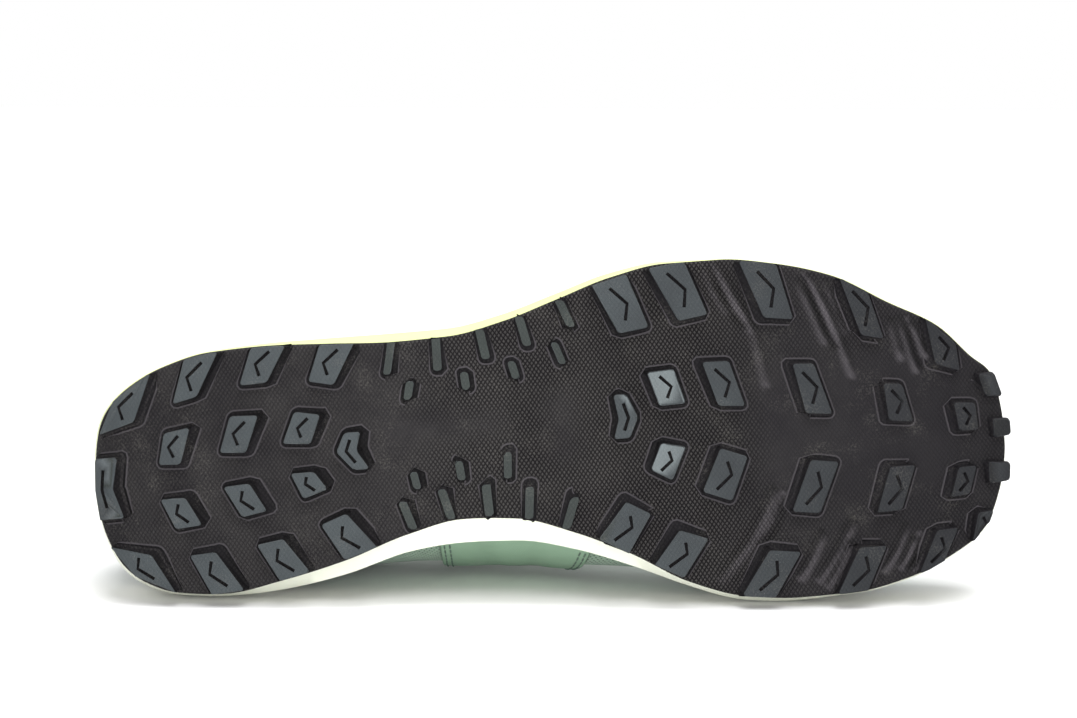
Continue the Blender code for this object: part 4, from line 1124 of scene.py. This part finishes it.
def makeFilm(name, colour):
    material, tree, inputs = newMaterial(name, 0.5)
    point = shoePoint(tree)
    split = apart(tree, point)
    grain = grained(tree, 4200.0, point)
    nap = useGroup(tree, meshKnit, {"Across": split[0], "Up": split[2], "Cell": 0.0009})
    lighter = tuple(value * 1.35 for value in colour)
    tint = mixColour(tree, times(tree, noise(tree, point, 34.0, 4.0), 0.4), colour, lighter)
    tint = mixColour(tree, times(tree, attribute(tree, "rimShare"), 0.8), tint, overlayFinish["edge"])
    worn = spread(tree, noise(tree, point, 160.0, 5.0), 0.62, 0.78, 0.2)
    tree.links.new(mixColour(tree, worn, tint, overlayFinish["scuff"]), inputs["Base Color"])
    tree.links.new(timesPlus(tree, grain["Height"], 0.25, 0.36), inputs["Roughness"])
    addBump(tree, inputs, timesPlus(tree, nap["Height"], 0.35, grain["Height"]), 0.5, 0.00018)
    return material


def overlayPlace(name, share, height):
    start, stop, *levels = overlayRows[name]
    low, high = threePoint(*levels[:3], share), threePoint(*levels[3:], share)
    return start + (stop - start) * share, low + (high - low) * height


overlaySizes = {"columnsPerTurn": 130, "leastColumns": 24, "rows": 10, "tallRows": 24, "tall": 0.25, "rimDrop": 0.0004}


def crowdedEnds(share):
    # moves stations to both ends, so that the round of the rim is short
    return share - 0.8 * math.sin(2 * math.pi * share) / (2 * math.pi)


def makeOverlay(name):
    parts = overlaySizes
    bm = bmesh.new()
    rim = bm.verts.layers.float.new("rimShare")
    start, stop, *levels = overlayRows[name]
    columns = max(parts["leastColumns"], round((stop - start) * parts["columnsPerTurn"]))
    rows = parts["tallRows"] if levels[4] - levels[1] > parts["tall"] else parts["rows"]
    sheets = []
    for lift, drop in ((size["filmGap"], 0.0), (overFilm, parts["rimDrop"])):
        sheet = []
        for row in range(rows + 1):
            sheet.append([])
            for column in range(columns + 1):
                turn, rise = overlayPlace(name, crowdedEnds(column / columns), crowdedEnds(row / rows))
                atRim = row in (0, rows) or column in (0, columns)
                vert = bm.verts.new(skin(turn, rise, lift - (drop if atRim else 0.0)))
                vert[rim] = float(atRim)
                sheet[-1].append(vert)
        sheets.append(sheet)
    for sheet in sheets:
        stripFaces(bm, sheet, False)
    under, over = [
        sheet[0][:-1] + [line[-1] for line in sheet[:-1]] + sheet[-1][:0:-1] + [line[0] for line in sheet[:0:-1]]
        for sheet in sheets
    ]
    stripFaces(bm, [under, over])
    piece = finishMesh(bm, name + "Film", makeFilm(name + "Film", overlayFinish[name]), 50)
    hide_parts(name)


for name in overlayRows:
    makeOverlay(name)
print("overlays laid")


# ---- midsole and insole
foamFinish = {
    "white": (0.75, 0.77, 0.66), "lime": (0.63, 0.68, 0.32), "soil": (0.4, 0.36, 0.24), "groove": (0.26, 0.28, 0.17),
}


def acrossCap(bm, loop):
    count = len(loop)
    for index in range(count // 2):
        corners = [loop[index], loop[index + 1], loop[count - index - 1], loop[-index % count]]
        bm.faces.new(list(dict.fromkeys(corners)))


def makeFoam():
    parts = foamFinish
    material, tree, inputs = newMaterial("midsoleFoam", 0.62)
    point = shoePoint(tree)
    grain = grained(tree, 2600.0, point)
    cells = addNode(tree, "ShaderNodeTexVoronoi", {"Vector": point, "Scale": 700.0}).outputs["Distance"]
    lateral = spread(tree, apart(tree, point)[1], 0.005, -0.03)
    colour = mixColour(tree, lateral, parts["white"], parts["lime"])
    colour = mixColour(tree, spread(tree, noise(tree, point, 60.0, 5.0), 0.58, 0.8, 0.35), colour, parts["soil"])
    colour = mixColour(tree, attribute(tree, "grooveShare"), colour, parts["groove"])
    tree.links.new(colour, inputs["Base Color"])
    tree.links.new(timesPlus(tree, grain["Height"], 0.2, 0.48), inputs["Roughness"])
    addBump(tree, inputs, timesPlus(tree, cells, 0.5, grain["Height"]), 0.35, 0.0002)
    return material


def edgePoint(edge, inset, height):
    def place(turn):
        point = edge(turn) - outward(edge, turn) * inset
        point.z = height(alongAt(turn))
        return point
    return place


# edge, inset in metres and share of the wall's height of each row, up to the rim of the cup
midsoleRows = [
    (rubberEdge, 0.0008, 0.0), (rubberEdge, 0.0002, 0.02), (rubberEdge, 0.0, 0.07), (foamEdge, 0.0, 0.2),
    (foamEdge, 0.0, 0.4), (foamEdge, 0.0003, 0.43), (foamEdge, 0.0012, 0.47), (foamEdge, 0.0013, 0.5),
    (foamEdge, 0.0012, 0.53), (foamEdge, 0.0003, 0.57), (foamEdge, 0.0, 0.6), (foamEdge, 0.0002, 0.75),
    (foamEdge, 0.0006, 0.9), (foamEdge, 0.0009, 0.97), (foamEdge, 0.0014, 1.0), (foamEdge, size["cupRim"], 1.0),
]
# rows that are shaded as the groove, and how much
grooveRows = {0: 0.8, 6: 0.7, 7: 0.9, 8: 0.7}
# inset and rise of the insole's rows, in metres
insoleRows = [(0.0, 0.0), (0.0, 0.003), (0.0004, 0.0036), (0.0012, 0.004), (0.004, 0.004)]


def cappedSheet(bm, turns, rows):
    loops = skinSheet(bm, turns, rows, True, False)
    acrossCap(bm, loops[0])
    acrossCap(bm, loops[-1])
    return loops


def makeMidsole():
    # flared foam wall with a groove along its side, and a low cup for the upper
    def between(share):
        def height(along):
            low = baseHeight(along) + size["rubber"] + size["gap"]
            return low + share * (cupHeight(along) - low)
        return height

    bm = bmesh.new()
    groove = bm.verts.layers.float.new("grooveShare")
    rows = [edgePoint(edge, inset, between(share)) for edge, inset, share in midsoleRows]
    rows.append(edgePoint(foamEdge, size["cupRim"], bedHeight))
    loops = cappedSheet(bm, [step / 130 for step in range(260)], rows)
    for row, share in grooveRows.items():
        for vert in loops[row]:
            vert[groove] = share
    midsole = finishMesh(bm, "foamMidsole", makeFoam(), 50)
    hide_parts("midsole")


def makeInsole():
    bm = bmesh.new()
    out = size["cupRim"] + size["wall"] + 2 * size["gap"]
    rows = [
        edgePoint(foamEdge, out + inset, lambda along, rise=rise: bedHeight(along) + size["gap"] + rise)
        for inset, rise in insoleRows
    ]
    cappedSheet(bm, [step / 90 for step in range(180)], rows)
    markTopness(bm)
    insole = finishMesh(bm, "clothInsole", makeFabric("insoleCloth"), 60)
    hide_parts("insole")


makeMidsole()
makeInsole()
print("midsole and insole made")


# ---- tongue: padded, under the throat, with a free end above the collar
tongueSizes = {
    "thickness": 0.0045, "raise": 0.0022, "reach": 0.024, "lean": 32, "narrowing": (0.36, 0.3), "clear": 0.0009,
    "turns": (0.46, 0.925), "wings": (0.87, 0.91, 0.955, 1.0), "inside": 7, "rings": 58, "freeRings": 12,
    "pressure": 3.5, "mostMove": 0.0007,
}


def tongueOutline(turn):
    parts = tongueSizes
    wings, inside = parts["wings"], parts["inside"]
    over, under = [], []
    reach = size["wall"] + parts["clear"]
    medial, lateral = skin(turn, 1, -reach), skin(2 - turn, 1, -reach)
    middleNormal = (skinNormal(turn, 1) + skinNormal(2 - turn, 1)).normalized()
    places = [(turn, rise) for rise in wings] + [None] * inside + [(2 - turn, rise) for rise in reversed(wings)]
    for index, place in enumerate(places):
        edgeShare = min(index, len(places) - 1 - index) / 2.5
        thick = parts["thickness"] * (0.45 + 0.55 * min(edgeShare, 1.0) ** 0.5) * 0.92
        if place:
            lift = wallAt(*place) + parts["clear"]
            over.append(skin(*place, -lift))
            under.append(skin(*place, -lift - thick))
        else:
            share = (index - len(wings) + 1) / (inside + 1)
            raised = parts["raise"] * 4 * share * (1 - share)
            point = medial.lerp(lateral, share)
            over.append(point + middleNormal * raised)
            under.append(point + middleNormal * (raised - thick))
    return over + under[::-1]


def makeTongue():
    parts = tongueSizes
    first, last = parts["turns"]
    rings = [tongueOutline(first + (last - first) * step / parts["rings"]) for step in range(parts["rings"] + 1)]
    start = rings[0]
    middle = sum(start, Vector((0, 0, 0))) / len(start)
    lean = math.radians(parts["lean"])
    direction = Vector((-math.sin(lean), 0, math.cos(lean)))
    for step in range(1, parts["freeRings"] + 1):
        share = step / parts["freeRings"]
        narrowing = threePoint(0.0, *parts["narrowing"], share)
        ring = [point + direction * (parts["reach"] * share) for point in start]
        for moved, point in zip(ring, start):
            moved.y += (middle.y - point.y) * narrowing
        rings.insert(0, ring)
    bm = bmesh.new()
    loops = ringSheet(bm, rings, True, False)
    half = len(start) // 2
    for loop in (loops[0], loops[-1]):
        stripFaces(bm, [loop[:half], loop[:half - 1:-1]], False)
    bm.verts.layers.float.new("topness")
    tongue = finishMesh(bm, "paddedTongue", makeFabric("tongueMesh"), 75)
    swollen(tongue, parts["pressure"], parts["mostMove"])
    finer = tongue.modifiers.new("finer", "SUBSURF")
    finer.levels = finer.render_levels = 1
    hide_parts("tongue")


makeTongue()
print("tongue padded")


# ---- eyelets and laces
laceSizes = {
    "eyeletRadius": 0.0029, "eyeletWire": 0.0007, "eyeletRise": 0.915, "width": 0.006, "thickness": 0.0013,
    "arch": 0.0012, "over": 0.0011, "overLift": 0.0003, "firstOver": -0.0004, "holeWidth": 0.0032,
    "widensOver": 0.008, "strands": 0.00055, "steps": 8, "corners": 16,
    "eyelet": ((0.05, 0.07, 0.06), (0.16, 0.19, 0.17)), "lace": ((0.3, 0.36, 0.31), (0.66, 0.74, 0.68)),
}


def makeEyelet(name, place, material):
    parts = laceSizes
    wire = parts["eyeletWire"]
    centre = skin(place, parts["eyeletRise"], overFilm + size["gap"] + wire)
    turned = skinNormal(round(place, 6), parts["eyeletRise"]).to_track_quat("Z", "Y").to_matrix().to_4x4()
    bm = bmesh.new()
    upright = Matrix.Translation((parts["eyeletRadius"], 0, 0)) @ Matrix.Rotation(math.pi / 2, 4, "X")
    ring = bmesh.ops.create_circle(bm, segments=10, radius=wire, matrix=upright)["verts"]
    bmesh.ops.spin(
        bm, geom=ring + list(bm.edges), cent=(0, 0, 0), axis=(0, 0, 1), angle=2 * math.pi, steps=36, use_merge=True
    )
    bmesh.ops.remove_doubles(bm, verts=bm.verts, dist=0.000005)
    bmesh.ops.transform(bm, matrix=Matrix.Translation(centre) @ turned, verts=bm.verts)
    return finishMesh(bm, name, material, 80)


def makeEyelets():
    material, tree, inputs = newMaterial("eyeletMetal", 0.35)
    grain = grained(tree, 5000.0)
    tree.links.new(mixColour(tree, times(tree, grain["Speckle"], 0.4), *laceSizes["eyelet"]), inputs["Base Color"])
    tree.links.new(timesPlus(tree, grain["Height"], 0.3, 0.22), inputs["Roughness"])
    inputs["Coat Weight"].default_value = 0.3
    for side in ("medial", "lateral"):
        for number, turn in enumerate(eyeletTurns, 1):
            place = turn if side == "medial" else 2 - turn
            piece = makeEyelet(f"eyelet{side.capitalize()}{number}", place, material)
            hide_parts(f"eyelet_{side}_{number}")


def makeLaceMaterial():
    material, tree, inputs = newMaterial("laceWeave", 0.85)
    along, across = attribute(tree, "laceAlong"), attribute(tree, "laceAcross")
    step = laceSizes["strands"]
    lean = times(tree, maths(tree, "ABSOLUTE", across), 0.55)
    weave = maths(tree, "PINGPONG", maths(tree, "DIVIDE", maths(tree, "ADD", along, lean), step), 0.5)
    strands = maths(tree, "PINGPONG", maths(tree, "DIVIDE", across, step * 1.5), 0.5)
    height = times(tree, weave, maths(tree, "ADD", strands, 0.4))
    tree.links.new(mixColour(tree, spread(tree, height, 0.0, 0.35), *laceSizes["lace"]), inputs["Base Color"])
    addBump(tree, inputs, height, 0.7, 0.00025)
    return material


def smoothRoute(points, steps):
    # Catmull-Rom curve through the points
    ends = [points[0] * 2 - points[1]] + points + [points[-1] * 2 - points[-2]]
    route = []
    for index in range(1, len(ends) - 2):
        one, two, three, four = ends[index - 1:index + 3]
        for step in range(steps):
            share = step / steps
            bend = (one * 2 - two * 5 + three * 4 - four) * share**2
            twist = (two * 3 - one - three * 3 + four) * share**3
            route.append((two * 2 + (three - one) * share + bend + twist) / 2)
    return route + [ends[-2]]


def laceStops(turn, base):
    # from inside the eyelet to the edge of the throat
    hole = laceSizes["eyeletRise"]
    stops = [(hole, hole, -0.0016), (hole + 0.012, hole, 0.001), (0.958, 0.96, 0.0002), (1.0, 1.0, 0.0)]
    return [(skin(turn, rise, base + lift), skinNormal(turn, normalRise)) for rise, normalRise, lift in stops]


def laceRun(bm, layers, startTurn, endTurn, lift, over):
    parts = laceSizes
    stops, back = [laceStops(turn, overFilm + size["gap"] + lift) for turn in (startTurn, endTurn)]
    (near, nearNormal), (far, farNormal) = stops[-1], back[-1]
    for share in (0.25, 0.5, 0.75):
        normal = nearNormal.lerp(farNormal, share).normalized()
        arch = parts["arch"] * 4 * share * (1 - share) + (over if share == 0.5 else over * 0.35)
        stops.append((near.lerp(far, share) + normal * arch, normal))
    route, normals = [smoothRoute(list(line), parts["steps"]) for line in zip(*stops, *back[::-1])]
    total = sum((after - before).length for before, after in zip(route, route[1:]))
    loops, gone = [], 0.0
    for index, (point, normal) in enumerate(zip(route, normals)):
        direction = (route[min(index + 1, len(route) - 1)] - route[max(index - 1, 0)]).normalized()
        side = normal.cross(direction).normalized()
        top = direction.cross(side).normalized()
        if index:
            gone += (point - route[index - 1]).length
        opened = min(1.0, min(gone, total - gone) / parts["widensOver"])
        width = parts["holeWidth"] + (parts["width"] - parts["holeWidth"]) * opened**2 * (3 - 2 * opened)
        thick = parts["thickness"] * (1.35 - 0.35 * opened)
        loops.append([])
        for corner in range(parts["corners"]):
            angle = 2 * math.pi * corner / parts["corners"]
            sideways = math.copysign(abs(math.cos(angle)) ** 0.6, math.cos(angle)) * width / 2
            upwards = math.copysign(abs(math.sin(angle)) ** 0.8, math.sin(angle)) * thick / 2
            vert = bm.verts.new(point + side * sideways + top * (upwards + thick / 2))
            vert[layers[0]], vert[layers[1]] = gone, sideways
            loops[-1].append(vert)
    closedTube(bm, loops)
    return total


def makeLaces():
    parts = laceSizes
    bm = bmesh.new()
    layers = [bm.verts.layers.float.new("laceAlong"), bm.verts.layers.float.new("laceAcross")]
    turns = eyeletTurns[::-1]
    length = laceRun(bm, layers, turns[0], 2 - turns[0], 0.0, parts["firstOver"])
    for lower, upper in zip(turns, turns[1:]):
        length += laceRun(bm, layers, lower, 2 - upper, 0.0, 0.0)
        length += laceRun(bm, layers, upper, 2 - lower, parts["overLift"], parts["over"])
    laces = finishMesh(bm, "wovenLaces", makeLaceMaterial(), 60)
    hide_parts("laces")
    return length


makeEyelets()
print(f"laced, with {makeLaces() * 1000:.0f} mm of lace")


# ---- stitches along the overlays, joined into one piece
stitchRows = [
    # overlay, edges of it (low, high, start, stop), insets in metres
    ("eyestay", ("low",), (0.0018, 0.0036)), ("eyestay", ("high",), (0.0018,)), ("toe_cap", ("high",), (0.0018,)),
    ("heel_counter", ("high",), (0.0018, 0.0036)), ("saddle_medial", ("start", "stop"), (0.0016, 0.0034)),
    ("saddle_lateral", ("start", "stop"), (0.0016, 0.0034)),
]
stitchSizes = {"length": 0.0021, "pitch": 0.003, "radius": 0.0003, "lift": 0.00016, "places": 160, "sink": 0.8}
# stations along a stitch in shares of its length, and their width in shares of its radius
stitchStations = [(-0.5, 0.35), (-0.42, 0.85), (0.0, 1.0), (0.42, 0.85), (0.5, 0.35)]


def stitchLine(name, edge, inset):
    # turns and rises along one edge of an overlay, moved inwards
    isLong = edge in ("low", "high")
    isFirst = edge in ("low", "start")
    count = stitchSizes["places"]
    points = []
    for step in range(2 if isLong else 0, count - 1 if isLong else count + 1):
        levels = [0.0 if isFirst else 1.0, 0.05 if isFirst else 0.95]
        corners = [(step / count, level) if isLong else (level, step / count) for level in levels]
        place, probe = [overlayPlace(name, *corner) for corner in corners]
        part = inset / max((bareSkin(*probe) - bareSkin(*place)).length, 1e-6)
        points.append([at + (inner - at) * part for at, inner in zip(place, probe)])
    return points


def addStitch(bm, centre, direction, normal):
    parts = stitchSizes
    side = normal.cross(direction).normalized()
    loops = []
    for share, wide in stitchStations:
        sink = normal * (-parts["radius"] * parts["sink"] if abs(share) > 0.45 else 0.0)
        middle = centre + direction * (share * parts["length"]) + sink
        loops.append([])
        for corner in range(6):
            angle = math.pi * corner / 3
            away = side * math.cos(angle) + normal * math.sin(angle)
            loops[-1].append(bm.verts.new(middle + away * (parts["radius"] * wide)))
    closedTube(bm, loops)


def addStitches(bm, line):
    lift = overFilm + stitchSizes["lift"]
    points = [skin(turn, rise, lift) for turn, rise in line]
    gone, nextAt = 0.0, stitchSizes["pitch"]
    for place, point, after in zip(line, points, points[1:]):
        reach = (after - point).length
        while gone + reach > nextAt:
            centre = point.lerp(after, (nextAt - gone) / reach)
            addStitch(bm, centre, (after - point).normalized(), skinNormal(*place))
            nextAt += stitchSizes["pitch"]
        gone += reach


def makeStitches():
    bm = bmesh.new()
    for name, edges, insets in stitchRows:
        for edge in edges:
            for inset in insets:
                addStitches(bm, stitchLine(name, edge, inset))
    material, tree, inputs = newMaterial("stitchThread", 0.7)
    grain = grained(tree, 6000.0)
    tone = mixColour(tree, grain["Height"], overlayFinish["thread"], overlayFinish["threadCrown"])
    tree.links.new(tone, inputs["Base Color"])
    addBump(tree, inputs, grain["Height"], 0.5, 0.0001)
    stitches = finishMesh(bm, "overlayStitches", material, 60)
    return stitches


print("stitched:", len(makeStitches().data.polygons), "faces")
